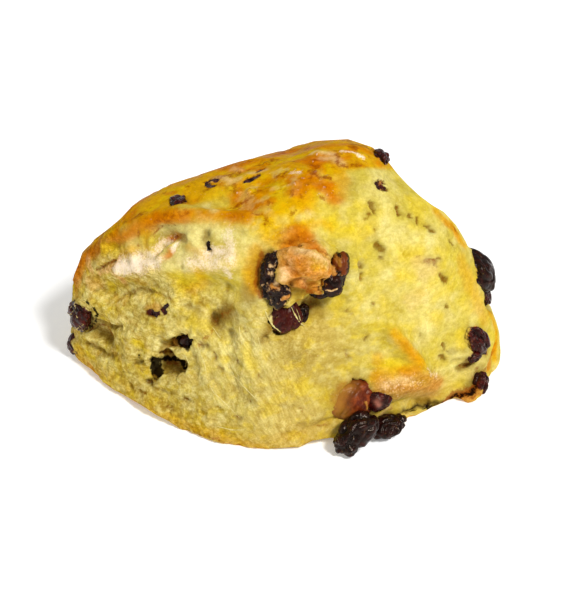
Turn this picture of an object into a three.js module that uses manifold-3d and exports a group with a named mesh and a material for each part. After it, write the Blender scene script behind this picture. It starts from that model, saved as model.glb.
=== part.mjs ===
// A fruit scone: a lopsided, unevenly risen lump of yellow dough with a browned crust, a torn front
// and raisins that stand out of it. Millimetres, +Z up. The origin is on the flat base, under the
// middle of the scone; -Y is the torn front and +X the right end.

import * as THREE from "three";
import { mergeVertices } from "three/addons/utils/BufferGeometryUtils.js";
import Module from "manifold-3d";

// ---- Driving dimensions ----------------------------------------------------------------------

// A place on the dough is given by its bearing round the heart (0 is the front, 90 the right end,
// -90 the left end, 180 the back) and its lift above the horizontal, in degrees, from the heart.
const HEART = new THREE.Vector3(0, 0, 18);

// The lump is a block with rounded edges. Each face looks along its bearing and lift, and lies its
// reach, in mm, from the heart.
const EDGE_SHARPNESS = 10;
const FACES = [
  { name: "left end", bearing: -90, lift: 4, reach: 48.6 },
  { name: "left low wall", bearing: -72, lift: 6, reach: 43.8 },
  { name: "front left wall", bearing: -48, lift: 14, reach: 28 },
  { name: "front wall", bearing: -20, lift: 16, reach: 23.8 },
  { name: "front right wall", bearing: 18, lift: 20, reach: 21.3 },
  { name: "right front wall", bearing: 40, lift: 16, reach: 27.6 },
  { name: "right flank", bearing: 52, lift: 38, reach: 31.5 },
  { name: "right end", bearing: 88, lift: 4, reach: 46 },
  { name: "upper left edge", bearing: -108, lift: 24, reach: 43.6 },
  { name: "left shoulder", bearing: -129, lift: 42, reach: 32.2 },
  { name: "back left shoulder", bearing: -150, lift: 51, reach: 26 },
  { name: "back shoulder", bearing: 180, lift: 55, reach: 32.6 },
  { name: "right shoulder", bearing: 124, lift: 39, reach: 32.8 },
  { name: "right low shoulder", bearing: 105, lift: 20, reach: 44 },
  { name: "crust", bearing: -70, lift: 80, reach: 26 },
  { name: "right back wall", bearing: 128, lift: 12, reach: 34 },
  { name: "back wall", bearing: 175, lift: 10, reach: 30 },
  { name: "left back wall", bearing: -135, lift: 12, reach: 33 },
  { name: "underside", bearing: 0, lift: -90, reach: 20 },
];

// Swellings (rise above 0) and hollows (rise below 0) in mm, each a round hump of that width.
const LUMPS = [
  { name: "left crust corner", bearing: -93, lift: 1, width: 7, rise: 2.6 },
  { name: "crater in the crust's edge", bearing: -62, lift: 36, width: 4, rise: -2 },
  { name: "hollow round the cave", bearing: -48, lift: -6, width: 7, rise: -1.6 },
  { name: "hollow in the left crumb", bearing: -79, lift: -12, width: 4, rise: -1.5 },
  { name: "hollow round the brown pocket", bearing: -34, lift: 13, width: 4, rise: -1.2 },
  { name: "dough between the middle raisins", bearing: 13, lift: 42, width: 7, rise: 2.4 },
  { name: "hollow under the middle raisins", bearing: 14, lift: 22, width: 5, rise: -2.2 },
  { name: "blister on the crust", bearing: 34, lift: 74, width: 7, rise: 1 },
  { name: "dip behind the top raisin", bearing: 95, lift: 48, width: 6.5, rise: -2.4 },
  { name: "swelling on the flank", bearing: 77, lift: 22, width: 9, rise: 1.6 },
  { name: "dip under the right raisin", bearing: 92, lift: -3, width: 4, rise: -1.2 },
  { name: "floury patch", bearing: 49, lift: -16, width: 6, rise: 1.8 },
  { name: "socket of the brown raisins", bearing: 27, lift: -19, width: 3.4, rise: -1.4 },
  { name: "undercut beside the foot", bearing: 60, lift: -25, width: 7, rise: -1.8 },
  { name: "undercut at the front", bearing: 0, lift: -30, width: 9, rise: -1 },
  { name: "undercut at the left", bearing: -52, lift: -24, width: 8, rise: -0.8 },
  { name: "back swelling", bearing: 150, lift: 20, width: 12, rise: 2 },
  { name: "back hollow", bearing: -168, lift: 16, width: 8, rise: -2.2 },
  { name: "left back swelling", bearing: -140, lift: 6, width: 9, rise: 1.6 },
  { name: "top back dimple", bearing: 170, lift: 62, width: 6, rise: -1.4 },
];

// Ridges (rise above 0) and grooves (rise below 0) in mm, from one place to another.
const FOLDS = [
  { name: "crust lip", from: [-86, 20], to: [-66, 46], width: 3.2, rise: 1.1 },
  { name: "crust lip, right half", from: [-66, 46], to: [-24, 57], width: 3.2, rise: 1.1 },
  { name: "valley behind the lip", from: [-76, 52], to: [-38, 62], width: 4, rise: -1.6 },
  { name: "floury ledge", from: [-84, 12], to: [-26, 42], width: 3, rise: 1.3 },
  { name: "step under the ledge", from: [-80, 4], to: [-27, 29], width: 3, rise: -1.4 },
  { name: "front ridge", from: [-15, 24], to: [-8, -22], width: 5, rise: 1.2 },
  { name: "groove left of the ridge", from: [-27, 6], to: [-22, -26], width: 3.2, rise: -0.9 },
  { name: "fold over the floury patch", from: [52, 2], to: [57, -15], width: 2.2, rise: 1.2 },
  { name: "lip round the brown raisin", from: [25, -14], to: [24, -24], width: 1.8, rise: 1.2 },
  { name: "groove over the foot", from: [34, -28], to: [66, -20], width: 2.2, rise: -0.8 },
  { name: "seam along the back", from: [120, 2], to: [-150, 0], width: 3, rise: -1.2 },
  { name: "crack over the back seam", from: [140, 34], to: [-165, 32], width: 2.4, rise: -1.1 },
];

// The crumb is craggy where the dough was torn, and nearly smooth on its skin.
const CRAG_SIZES = [
  { length: 6.5, torn: 0.75, skin: 0.3 },
  { length: 3.4, torn: 0.5, skin: 0.12 },
];

// Raisins: where they sit, how proud of the dough their middle lies, their length, width and
// thickness, and how far they are turned from level.
const RAISINS = [
  { name: "raisin_right_end", bearing: 92.5, lift: 4, proud: 0.6, size: [9, 6.4, 5.4], turn: 70 },
  { name: "raisin_right_low", bearing: 90, lift: -5, proud: 0, size: [4.4, 3.4, 3], turn: 80 },
  { name: "raisin_right_face", bearing: 78, lift: -11, proud: 0.3, size: [8, 4.4, 3.6], turn: -64 },
  { name: "raisin_right_dot", bearing: 74, lift: -15.5, proud: 0.2, size: [3, 2.6, 2.4], turn: 0 },
  { name: "raisin_foot_right", bearing: 74.5, lift: -19.5, proud: 0.8, size: [4.8, 3.8, 3.6], turn: 60 },
  { name: "raisin_foot_front", bearing: 26, lift: -27, proud: 3.6, size: [9.6, 6.2, 6], turn: 34 },
  { name: "raisin_foot_side", bearing: 42, lift: -27, proud: 1.8, size: [7, 4.6, 4.6], turn: 6 },
  { name: "raisin_brown", bearing: 30.5, lift: -19.2, proud: 0.3, size: [7.4, 5.2, 4.6], turn: 80 },
  { name: "raisin_brown_small", bearing: 39.8, lift: -21, proud: 0.5, size: [4.2, 4, 3.6], turn: 0 },
  { name: "raisin_middle_left", bearing: -7, lift: 38.5, proud: 0.8, size: [11, 5.8, 5], turn: 96 },
  { name: "raisin_middle_right", bearing: 29.5, lift: 37.5, proud: 1.4, size: [9, 4.4, 4.6], turn: 64 },
  { name: "raisin_under", bearing: 1, lift: 18.2, proud: 0, size: [6.6, 6, 5], turn: 70 },
  { name: "raisin_under_small", bearing: 13.8, lift: 21.5, proud: 0.2, size: [3.6, 2.8, 2.6], turn: 60 },
  { name: "raisin_left_end", bearing: -88, lift: -9.5, proud: 0.4, size: [7.4, 6, 4.6], turn: 40 },
  { name: "raisin_left_low", bearing: -92, lift: -19.5, proud: 0.5, size: [5, 3.8, 3.4], turn: 80 },
  { name: "raisin_crumb_a", bearing: -61.4, lift: 7, proud: -0.1, size: [3, 2.4, 2.4], turn: 10 },
  { name: "raisin_crumb_b", bearing: -56.3, lift: 10.5, proud: -0.1, size: [3, 2.2, 2.2], turn: 60 },
  { name: "raisin_in_hole", bearing: -45, lift: 0, proud: -2.4, size: [5, 4, 4], turn: 20 },
  { name: "raisin_crust_left", bearing: -77.5, lift: 48, proud: 0.1, size: [4.2, 3.2, 3], turn: 5 },
  { name: "raisin_crust_middle", bearing: -92, lift: 61, proud: -0.2, size: [4.8, 3.4, 3], turn: 20 },
  { name: "raisin_crust_right", bearing: -82, lift: 78, proud: -0.5, size: [4.4, 3, 2.8], turn: -30 },
  { name: "raisin_top_right", bearing: 107, lift: 52.5, proud: 0.6, size: [4, 3, 3], turn: -30 },
  { name: "raisin_flank_bit", bearing: 77, lift: 53.5, proud: 0.2, size: [3, 2.4, 2.2], turn: -40 },
  { name: "raisin_edge_bit", bearing: -42.5, lift: 44.5, proud: -0.5, size: [2.8, 2.2, 2.2], turn: 80 },
  { name: "raisin_back_a", bearing: 162, lift: 18, proud: 0.4, size: [9.2, 6, 5], turn: 30 },
  { name: "raisin_back_b", bearing: -162, lift: -12, proud: 0.7, size: [8.4, 6.2, 5], turn: -50 },
  { name: "raisin_back_c", bearing: 132, lift: -12, proud: 0.4, size: [8.8, 5.4, 4.6], turn: 75 },
  { name: "raisin_back_d", bearing: -138, lift: -8, proud: 0.4, size: [7.6, 5.4, 4.4], turn: -20 },
];
const RAISIN_CLEARANCE = 0.3; // between a raisin and the walls of its pocket
const WRINKLES = 5;
const WRINKLE_DEPTH = 0.18; // of the raisin's half width
const LUMPINESS = 0.2;

// Clods of dough that stand out (proud above 0) and holes torn into it (proud below 0): ragged
// ellipsoids as wide, as high and as deep as their size, turned from level.
const CLODS = [
  { name: "clod between the raisins", bearing: 13, lift: 42, proud: 0.2, size: [12.5, 10.5, 9], turn: 10 },
  { name: "chin under the left raisin", bearing: 2, lift: 30, proud: 0.6, size: [6, 3.6, 5], turn: 35 },
  { name: "burnt foot", bearing: 72, lift: -23.5, proud: 0.2, size: [6, 4.2, 4.4], turn: 15 },
];
const HOLES = [
  { name: "cave", bearing: -49.5, lift: -11.5, proud: -2, size: [8.4, 5, 10], turn: -6 },
  { name: "cave's left arm", bearing: -53.5, lift: -14, proud: -1, size: [2.6, 5, 6], turn: -20 },
  { name: "raisin hole", bearing: -45.5, lift: 0.5, proud: -0.6, size: [4.4, 3.6, 5], turn: 30 },
  { name: "brown pocket", bearing: -34, lift: 13, proud: -0.2, size: [3.8, 3, 5], turn: 50 },
  { name: "pocket under the raisins", bearing: -8, lift: 10, proud: -0.2, size: [2.6, 2.2, 3.6], turn: 50 },
  { name: "pit by the right raisin", bearing: 70, lift: -15, proud: 0, size: [3, 1.6, 2.8], turn: 10 },
];
const RAGGEDNESS = 0.22;

const SMALL_THING = 6;
const SKIN_STEPS = 18;
const SKIN_STRETCH = new THREE.Vector3(43, 31, 26);
const FACET_TOLERANCE = 0.07;

// ---- Small helpers ---------------------------------------------------------------------------

const wasm = await Module();
wasm.setup();

function direction(bearing, lift) {
  const b = THREE.MathUtils.degToRad(bearing);
  const l = THREE.MathUtils.degToRad(lift);
  return new THREE.Vector3(Math.sin(b) * Math.cos(l), -Math.cos(b) * Math.cos(l), Math.sin(l));
}

function latticeValue(x, y, z) {
  const wave = Math.sin(x * 127.1 + y * 311.7 + z * 74.7) * 43758.5453;
  return 2 * (wave - Math.floor(wave)) - 1;
}

// Smooth noise from -1 to 1: a random value at each whole-number place, blended in between.
function noise(x, y, z) {
  const corner = [x, y, z].map(Math.floor);
  const [u, v, w] = [x, y, z].map((c, axis) => THREE.MathUtils.smoothstep(c - corner[axis], 0, 1));
  let value = 0;
  for (const i of [0, 1])
    for (const j of [0, 1])
      for (const k of [0, 1]) {
        const share = (i ? u : 1 - u) * (j ? v : 1 - v) * (k ? w : 1 - w);
        value += share * latticeValue(corner[0] + i, corner[1] + j, corner[2] + k);
      }
  return value;
}

// A unit ball of small triangles whose shared vertices are merged.
function ball(steps) {
  const geometry = new THREE.IcosahedronGeometry(1, steps);
  geometry.deleteAttribute("normal");
  geometry.deleteAttribute("uv");
  return mergeVertices(geometry, 1e-5);
}

// A unit ball for something as long as this: a small thing has fewer facets.
function pebble(length) {
  return ball(length < SMALL_THING ? 1 : 2);
}

// Moves every vertex of a geometry in place.
function reshape(geometry, move) {
  const position = geometry.getAttribute("position");
  const vertex = new THREE.Vector3();
  for (let i = 0; i < position.count; i++) {
    vertex.fromBufferAttribute(position, i);
    move(vertex);
    position.setXYZ(i, vertex.x, vertex.y, vertex.z);
  }
  return geometry;
}

function solidOf(geometry) {
  const vertProperties = new Float32Array(geometry.getAttribute("position").array);
  const triVerts = new Uint32Array(geometry.index.array);
  return new wasm.Manifold(new wasm.Mesh({ numProp: 3, vertProperties, triVerts }));
}

function geometryOf(solid) {
  const { vertProperties, triVerts } = solid.getMesh();
  return new THREE.BufferGeometry()
    .setAttribute("position", new THREE.BufferAttribute(new Float32Array(vertProperties), 3))
    .setIndex(new THREE.BufferAttribute(new Uint32Array(triVerts), 1));
}

// ---- The dough's surface ---------------------------------------------------------------------

const faces = FACES.map((face) => ({
  normal: direction(face.bearing, face.lift),
  reach: face.reach,
}));

// The rounded block's surface along a direction from the heart, and its outward normal there.
function blockSurface(towards) {
  const normal = new THREE.Vector3();
  let sum = 0;
  for (const face of faces) {
    const share = Math.max(0, face.normal.dot(towards) / face.reach);
    sum += share ** EDGE_SHARPNESS;
    normal.addScaledVector(face.normal, share ** (EDGE_SHARPNESS - 1) / face.reach);
  }
  const point = towards.clone().multiplyScalar(sum ** (-1 / EDGE_SHARPNESS)).add(HEART);
  return { point, normal: normal.normalize() };
}

const lumps = LUMPS.map((lump) => ({
  ...lump,
  centre: blockSurface(direction(lump.bearing, lump.lift)).point,
}));

const folds = FOLDS.map((fold) => ({
  ...fold,
  line: new THREE.Line3(
    blockSurface(direction(...fold.from)).point,
    blockSurface(direction(...fold.to)).point,
  ),
}));

// 1 on the torn front, from the left end to the front ridge and under the crust, and 0 on the skin.
function tornShare(towards) {
  const bearing = THREE.MathUtils.radToDeg(Math.atan2(towards.x, -towards.y));
  const lift = THREE.MathUtils.radToDeg(Math.asin(towards.z));
  const { smoothstep } = THREE.MathUtils;
  return smoothstep(bearing, -112, -88) * (1 - smoothstep(bearing, 0, 30)) * (1 - smoothstep(lift, 22, 40));
}

// How far the lumps, folds and crags lift the block's surface at a point.
function relief(point, towards) {
  let rise = 0;
  for (const lump of lumps) {
    const distance = point.distanceTo(lump.centre) / lump.width;
    rise += lump.rise * Math.exp(-distance * distance);
  }
  const nearest = new THREE.Vector3();
  for (const fold of folds) {
    fold.line.closestPointToPoint(point, true, nearest);
    const distance = point.distanceTo(nearest) / fold.width;
    rise += fold.rise * Math.exp(-distance * distance);
  }
  const torn = tornShare(towards);
  for (const { length, torn: onTorn, skin: onSkin } of CRAG_SIZES) {
    const height = THREE.MathUtils.lerp(onSkin, onTorn, torn);
    rise += height * noise(point.x / length, point.y / length, point.z / length);
  }
  return rise;
}

function doughSurface(towards) {
  const { point, normal } = blockSurface(towards);
  point.addScaledVector(normal, relief(point, towards));
  return { point, normal };
}

// A frame on the dough: its origin on the surface, X level along it, Y up it and Z out of it,
// then turned about Z.
function seat({ bearing, lift, proud, turn }) {
  const { point, normal } = doughSurface(direction(bearing, lift));
  const level = new THREE.Vector3(0, 0, 1).cross(normal).normalize();
  const up = normal.clone().cross(level);
  const frame = new THREE.Matrix4().makeBasis(level, up, normal);
  frame.setPosition(point.addScaledVector(normal, proud));
  return frame.multiply(new THREE.Matrix4().makeRotationZ(THREE.MathUtils.degToRad(turn)));
}

// ---- Raisins ---------------------------------------------------------------------------------

// A raisin lies along X. Its creases run from end to end and wander, and its flesh is lumpy.
function raisinGeometry([length, width, thickness], seed) {
  return reshape(pebble(length), (vertex) => {
    const { x, y, z } = vertex;
    const crease = 1 - Math.abs(Math.sin((WRINKLES * Math.atan2(z, y)) / 2 + seed + 1.3 * x));
    const shrunk = 1 - WRINKLE_DEPTH * crease * (1 - x * x);
    const lumpy = 1 + LUMPINESS * noise(1.3 * x + 9 * seed, 1.3 * y, 1.3 * z);
    vertex.set(x, y * shrunk, z * shrunk).multiplyScalar(lumpy / 2);
    vertex.multiply(new THREE.Vector3(length, width, thickness));
  });
}

const raisinMaterial = new THREE.MeshStandardMaterial({ color: 0x3a1a14, roughness: 0.4 });
const raisins = RAISINS.map((raisin, seed) => {
  const mesh = new THREE.Mesh(raisinGeometry(raisin.size, seed), raisinMaterial.clone());
  mesh.name = raisin.name;
  mesh.applyMatrix4(seat(raisin));
  return mesh;
});

function pocketSolid(raisin, seed) {
  const roomy = raisin.size.map((side) => side + 2 * RAISIN_CLEARANCE);
  return solidOf(raisinGeometry(roomy, seed).applyMatrix4(seat(raisin)));
}

// ---- Dough -----------------------------------------------------------------------------------

function clodSolid(clod) {
  const shape = reshape(pebble(Math.max(...clod.size)), (vertex) => {
    const ragged = 1 + RAGGEDNESS * noise(vertex.x * 2.3, vertex.y * 2.3, vertex.z * 2.3);
    vertex.multiplyScalar(ragged / 2).multiply(new THREE.Vector3(...clod.size));
  });
  return solidOf(shape.applyMatrix4(seat(clod)));
}

// Everything below the flat base, as a block to cut off.
function groundSolid() {
  const side = 120;
  const ground = new THREE.BoxGeometry(side, side, side).translate(0, 0, -side / 2);
  ground.deleteAttribute("normal");
  ground.deleteAttribute("uv");
  return solidOf(mergeVertices(ground));
}

function doughGeometry() {
  const skin = reshape(ball(SKIN_STEPS), (vertex) => {
    vertex.copy(doughSurface(vertex.multiply(SKIN_STRETCH).normalize()).point);
  });
  let dough = solidOf(skin);
  for (const clod of CLODS) dough = dough.add(clodSolid(clod));
  dough = dough.subtract(groundSolid());
  for (const hole of HOLES) dough = dough.subtract(clodSolid(hole));
  RAISINS.forEach((raisin, seed) => {
    dough = dough.subtract(pocketSolid(raisin, seed));
  });
  return geometryOf(dough.simplify(FACET_TOLERANCE));
}

const dough = new THREE.Mesh(
  doughGeometry(),
  new THREE.MeshStandardMaterial({ color: 0xe3c76f, roughness: 0.75 }),
);
dough.name = "dough";

// ---- The scone -------------------------------------------------------------------------------

const scone = new THREE.Group();
scone.add(dough, ...raisins);

export default scone;
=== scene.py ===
import math
from dataclasses import dataclass

import bpy
import numpy as np
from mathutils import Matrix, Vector, noise
from mathutils.bvhtree import BVHTree


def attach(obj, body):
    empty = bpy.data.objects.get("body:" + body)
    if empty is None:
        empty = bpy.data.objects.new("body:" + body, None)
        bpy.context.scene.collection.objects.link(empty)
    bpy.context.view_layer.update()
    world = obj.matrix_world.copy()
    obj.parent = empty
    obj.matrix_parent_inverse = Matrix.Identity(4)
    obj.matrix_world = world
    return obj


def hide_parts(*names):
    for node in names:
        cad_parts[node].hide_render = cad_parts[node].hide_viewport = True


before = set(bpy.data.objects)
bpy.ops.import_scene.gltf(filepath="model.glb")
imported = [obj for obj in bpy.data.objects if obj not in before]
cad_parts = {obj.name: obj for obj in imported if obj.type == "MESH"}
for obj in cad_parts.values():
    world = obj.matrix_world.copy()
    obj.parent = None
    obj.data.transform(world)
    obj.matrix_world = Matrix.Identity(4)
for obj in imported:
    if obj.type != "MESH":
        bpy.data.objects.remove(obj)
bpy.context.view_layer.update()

MM = 0.001

# The dough's solid is remeshed, folded, roughened and painted, mostly along lines over the picture.
# The raisins' solids are fitted to the dough, wrinkled and smeared. Sizes are in mm unless a comment
# says otherwise.

# ---- View ------------------------------------------------------------------------------------

# Places on the scone are given as points of the picture that this camera takes, 584 by 600.
PICTURE = (584, 600)
LENS, SENSOR = 100.0, 36.0
PIXEL = SENSOR / LENS / max(PICTURE)  # how wide a pixel is at a distance of 1
TARGET = Vector((1.8, 6.9, 9.8)) * MM
VIEW_ELEVATION = math.radians(35.0)
VIEW_DISTANCE = 333 * MM
FORWARD = Vector((0, math.cos(VIEW_ELEVATION), -math.sin(VIEW_ELEVATION)))
UP = Vector((0, math.sin(VIEW_ELEVATION), math.cos(VIEW_ELEVATION)))
EYE = TARGET - FORWARD * VIEW_DISTANCE


def sight(x, y):
    """The direction from the eye through a point of the picture."""
    across, down = (x - PICTURE[0] / 2) * PIXEL, (y - PICTURE[1] / 2) * PIXEL
    return (FORWARD + Vector((across, 0, 0)) - UP * down).normalized()


scene = bpy.context.scene
scene.view_settings.view_transform = "Standard"


def linked(name, data):
    """A new object of the scene, with this data."""
    obj = bpy.data.objects.new(name, data)
    scene.collection.objects.link(obj)
    return obj


def add_camera():
    data = bpy.data.cameras.new("camera")
    data.lens = LENS
    data.sensor_width = SENSOR
    data.clip_start = 10 * MM
    camera = linked("camera", data)
    camera.location = EYE
    camera.rotation_euler = FORWARD.to_track_quat("-Z", "Y").to_euler()
    scene.camera = camera


add_camera()

# ---- Shader helper ---------------------------------------------------------------------------


class Shader:
    """A new material, with short ways to add nodes to it."""

    def __init__(self, name):
        self.material = bpy.data.materials.new(name)
        self.material.use_nodes = True
        self.tree = self.material.node_tree

    def feed(self, node, inputs):
        """Gives each of these inputs a number, a linear colour or the output of another node."""
        for key, value in inputs.items():
            socket = node.inputs[key]
            if isinstance(value, bpy.types.NodeSocket):
                self.tree.links.new(value, socket)
            else:
                socket.default_value = (*value, 1) if socket.type == "RGBA" else value

    def surface(self, inputs):
        """Feeds the surface that the material shows."""
        self.feed(self.tree.nodes["Principled BSDF"], inputs)

    def node(self, kind, inputs, **settings):
        """A new node of this kind."""
        node = self.tree.nodes.new("ShaderNode" + kind)
        for key, value in settings.items():
            setattr(node, key, value)
        self.feed(node, inputs)
        return node

    def place(self):
        """The place on the object, in metres."""
        return self.node("TexCoord", {}).outputs["Object"]

    def stored(self, name, output="Fac"):
        """What was kept for each vertex."""
        return self.node("Attribute", {}, attribute_name=name).outputs[output]

    def noise(self, place, size, detail, roughness):
        """Noise with lumps of that size, in the units of the place that it is given."""
        inputs = {"Vector": place, "Scale": 1 / size, "Detail": detail, "Roughness": roughness}
        return self.node("TexNoise", inputs).outputs["Fac"]

    def ramp(self, source, low, high, low_value=0.0, high_value=1.0):
        """Runs from the low value to the high one while the source runs from low to high."""
        inputs = {"From Min": low, "From Max": high, "To Min": low_value, "To Max": high_value}
        return self.node("MapRange", {"Value": source, **inputs}).outputs["Result"]

    def math(self, operation, *values):
        """A number worked out from others."""
        return self.node("Math", dict(enumerate(values)), operation=operation).outputs[0]

    def blend(self, factor, first, second):
        """Mixes two numbers."""
        return self.node("Mix", {"Factor": factor, 2: first, 3: second}).outputs[0]

    def mixed(self, factor, first, second, way="MIX"):
        """Mixes two colours."""
        inputs = {"Factor": factor, 6: first, 7: second}
        return self.node("Mix", inputs, data_type="RGBA", blend_type=way).outputs[2]

    def bump(self, height, strength, depth):
        """Gives the surface a fine relief."""
        inputs = {"Height": height, "Strength": strength, "Distance": depth * MM}
        self.surface({"Normal": self.node("Bump", inputs).outputs["Normal"]})


# ---- Light and floor -------------------------------------------------------------------------

# Round lamps: their place and width in metres, and their power in watts.
LAMPS = {
    "key": ((0.64, -0.80, 1.20), 0.34, 22.8),
    "fill": ((-1.00, -0.80, 0.85), 0.60, 2.2),
    "rim": ((-0.10, 1.10, 0.75), 0.50, 0.8),
}
LAMPS_AIM = Vector((0, 0, 20)) * MM
WHITE = (1.0, 1.0, 1.0)
SKY_LIGHT = 0.40
FLOOR_REACH = 3000 * MM
FLOOR_PAINT = (0.95, 0.95, 0.95)
FLOOR_ROUGHNESS = 0.9
FLOOR_GLOW = 0.22  # pales the cast shadow, as the photo's white ground does


def add_lamp(name, place, width, power):
    """A round lamp that is turned to the scone."""
    data = bpy.data.lights.new(name, "AREA")
    data.shape = "DISK"
    data.size = width
    data.energy = power
    lamp = linked(name, data)
    lamp.location = place
    lamp.rotation_euler = (LAMPS_AIM - Vector(place)).to_track_quat("-Z", "Y").to_euler()


def light_the_sky():
    """Even white light from all round."""
    world = bpy.data.worlds.new("world")
    scene.world = world
    world.use_nodes = True
    sky = world.node_tree.nodes["Background"]
    sky.inputs["Color"].default_value = (*WHITE, 1)
    sky.inputs["Strength"].default_value = SKY_LIGHT


def floor_material():
    shader = Shader("floor")
    shader.surface({"Base Color": FLOOR_PAINT, "Roughness": FLOOR_ROUGHNESS})
    shader.surface({"Emission Color": WHITE, "Emission Strength": FLOOR_GLOW})
    return shader.material


def floor_mesh():
    mesh = bpy.data.meshes.new("floor")
    signs = ((-1, -1), (1, -1), (1, 1), (-1, 1))
    mesh.from_pydata([(x * FLOOR_REACH, y * FLOOR_REACH, 0) for x, y in signs], [], [(0, 1, 2, 3)])
    mesh.materials.append(floor_material())
    return mesh


for lamp_name, lamp_values in LAMPS.items():
    add_lamp(lamp_name, *lamp_values)
light_the_sky()
floor = linked("floor", floor_mesh())

# ---- Palette (sRGB, 0 to 255) ----------------------------------------------------------------

CRUMB = (194, 175, 68)
PALE = (220, 207, 132)
YELLOW = (212, 184, 24)
TORN = (190, 160, 66)
# A dark olive-brown for painted shade in hollows, creases, holes and pockets.
PAINTED_SHADE = (126, 96, 26)
GOLD = (206, 152, 0)
ORANGE = (192, 108, 0)
BROWN = (128, 54, 2)
# The white of flour, which also paints highlights and sheen.
FLOUR_AND_HIGHLIGHT = (246, 226, 198)
# A softer flour white, which on the ledge is partly painted sheen.
SOFT_FLOUR_AND_SHEEN = (226, 200, 140)
BLUSH = (222, 170, 106)
RUST = (92, 38, 2)
WINE = (62, 9, 5)
ROSE = (168, 104, 84)
AMBER = (156, 106, 34)
# The cream of dough, which also paints sheen on the crust.
CREAM_AND_SHEEN = (222, 188, 130)
STRAND = (214, 199, 128)
TAN = (196, 136, 56)
OLIVE = (138, 122, 66)
# Burnt brown, which also paints shade in creases and the deepest recesses.
BURNT_AND_SHADE = (36, 14, 6)
# The black of soot, which also paints shade in the hole and the cave.
SOOT_AND_SHADE = (14, 6, 4)


def linear(colour):
    """An sRGB colour from 0 to 255 as linear light from 0 to 1."""
    c = np.asarray(colour, float) / 255
    return np.where(c <= 0.04045, c / 12.92, ((c + 0.055) / 1.055) ** 2.4)


def smoothstep(x, low, high):
    """Rises smoothly from 0 at low to 1 at high, or falls where low is the higher one."""
    t = np.clip((x - low) / (high - low), 0, 1)
    return t * t * (3 - 2 * t)


def between(x, start, low, high, end):
    """1 from low to high, fading to 0 at the start and at the end."""
    return smoothstep(x, start, low) * smoothstep(x, end, high)


# ---- Mesh helpers ----------------------------------------------------------------------------

GOLDEN_TURN = 2.399963  # radians: rays that turn by it spread evenly
OFF_THE_SKIN = 0.08


def read(items, key, width, kind=float):
    """Rows of the numbers that vertices, normals or edges hold under a key."""
    out = np.empty(len(items) * width, kind)
    items.foreach_get(key, out)
    return out.reshape(-1, width)


def places(mesh):
    return read(mesh.vertices, "co", 3) / MM


def set_places(mesh, points):
    mesh.vertices.foreach_set("co", (points * MM).ravel())
    mesh.update()


def normals(mesh):
    return read(mesh.vertex_normals, "vector", 3)


def around(values, links):
    """The mean of each vertex's neighbours."""
    count = np.bincount(links.ravel(), minlength=len(values)).astype(float)
    total = np.zeros_like(values)
    for a, b in ((0, 1), (1, 0)):
        for axis in range(values.shape[1]):
            total[:, axis] += np.bincount(links[:, a], values[links[:, b], axis], len(values))
    return total / np.maximum(count, 1)[:, None]


def soften(values, links, times):
    for _ in range(times):
        values = 0.5 * values + 0.5 * around(values, links)
    return values


def made_by_modifiers(name, mesh, *modifiers):
    """A new mesh: the given one after these modifiers, each a type and its settings."""
    obj = linked(name, mesh)
    for kind, settings in modifiers:
        modifier = obj.modifiers.new(kind, kind)
        for key, value in settings.items():
            setattr(modifier, key, value)
    shaped = bpy.data.meshes.new_from_object(obj.evaluated_get(bpy.context.evaluated_depsgraph_get()))
    bpy.data.objects.remove(obj)
    shaped.name = name
    return shaped


def finished(mesh, material):
    """The mesh shaded smooth, with this material alone."""
    mesh.polygons.foreach_set("use_smooth", np.ones(len(mesh.polygons), bool))
    mesh.materials.clear()
    mesh.materials.append(material)
    return mesh


PLACE_LAYERS = ("weave", "drawn")
LAYER_FIELDS = {"FLOAT": "value", "FLOAT_VECTOR": "vector", "FLOAT_COLOR": "color"}


def store(mesh, **layers):
    """Keeps one number, a place or a colour for each vertex, for the material to read."""
    for name, values in layers.items():
        if values.ndim == 1:
            kind = "FLOAT"
        elif name in PLACE_LAYERS:
            kind = "FLOAT_VECTOR"
        else:
            kind = "FLOAT_COLOR"
            values = np.concatenate([values, np.ones((len(values), 1))], 1)
        layer = mesh.attributes.new(name, kind, "POINT")
        layer.data.foreach_set(LAYER_FIELDS[kind], values.ravel().astype(np.float32))


def polygons_of(*meshes):
    """The corners and the faces of these meshes together."""
    corners, faces = [], []
    for mesh in meshes:
        start = len(corners)
        corners += [v.co.copy() for v in mesh.vertices]
        faces += [[start + i for i in p.vertices] for p in mesh.polygons]
    return corners, faces


def tree_of(*meshes):
    """What rays can hit, and what distances are measured to."""
    return BVHTree.FromPolygons(*polygons_of(*meshes))


def distance_to(tree, points, reach):
    """How far each point is from the nearest surface, up to a reach."""
    out = np.full(len(points), float(reach))
    for i, p in enumerate((points * MM).tolist()):
        away = tree.find_nearest(p, reach * MM)[3]
        if away is not None:
            out[i] = away / MM
    return out


def openness(tree, points, outward, reach, rays):
    """The share of its outlook that each vertex has free within a reach: 1 on top, 0 in a deep hole."""
    side = np.cross(outward, np.where(np.abs(outward[:, 2:]) < 0.9, (0.0, 0.0, 1.0), (1.0, 0.0, 0.0)))
    side /= np.linalg.norm(side, axis=1)[:, None]
    other = np.cross(outward, side)
    free = np.zeros(len(points))
    starts = ((points + OFF_THE_SKIN * outward) * MM).tolist()
    for k in range(rays):
        rise = math.sqrt((k + 0.5) / rays)
        spread = math.sqrt(1 - rise * rise)
        turn = GOLDEN_TURN * k
        ways = outward * rise + side * (spread * math.cos(turn)) + other * (spread * math.sin(turn))
        for i, (start, way) in enumerate(zip(starts, ways.tolist())):
            if tree.ray_cast(start, way, reach * MM)[0] is None:
                free[i] += 1
    return free / rays


# ---- Noise -----------------------------------------------------------------------------------

# How far a seed moves the noise, and what makes a pit's luck from its place.
PERLIN_SHIFT = (17.3, -9.1, 5.7)
PITS_SHIFT = (11.9, 7.7, -3.1)
LUCK_WAY, LUCK_FACTOR = Vector((12.99, 78.23, 37.72)), 43758.5


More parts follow.
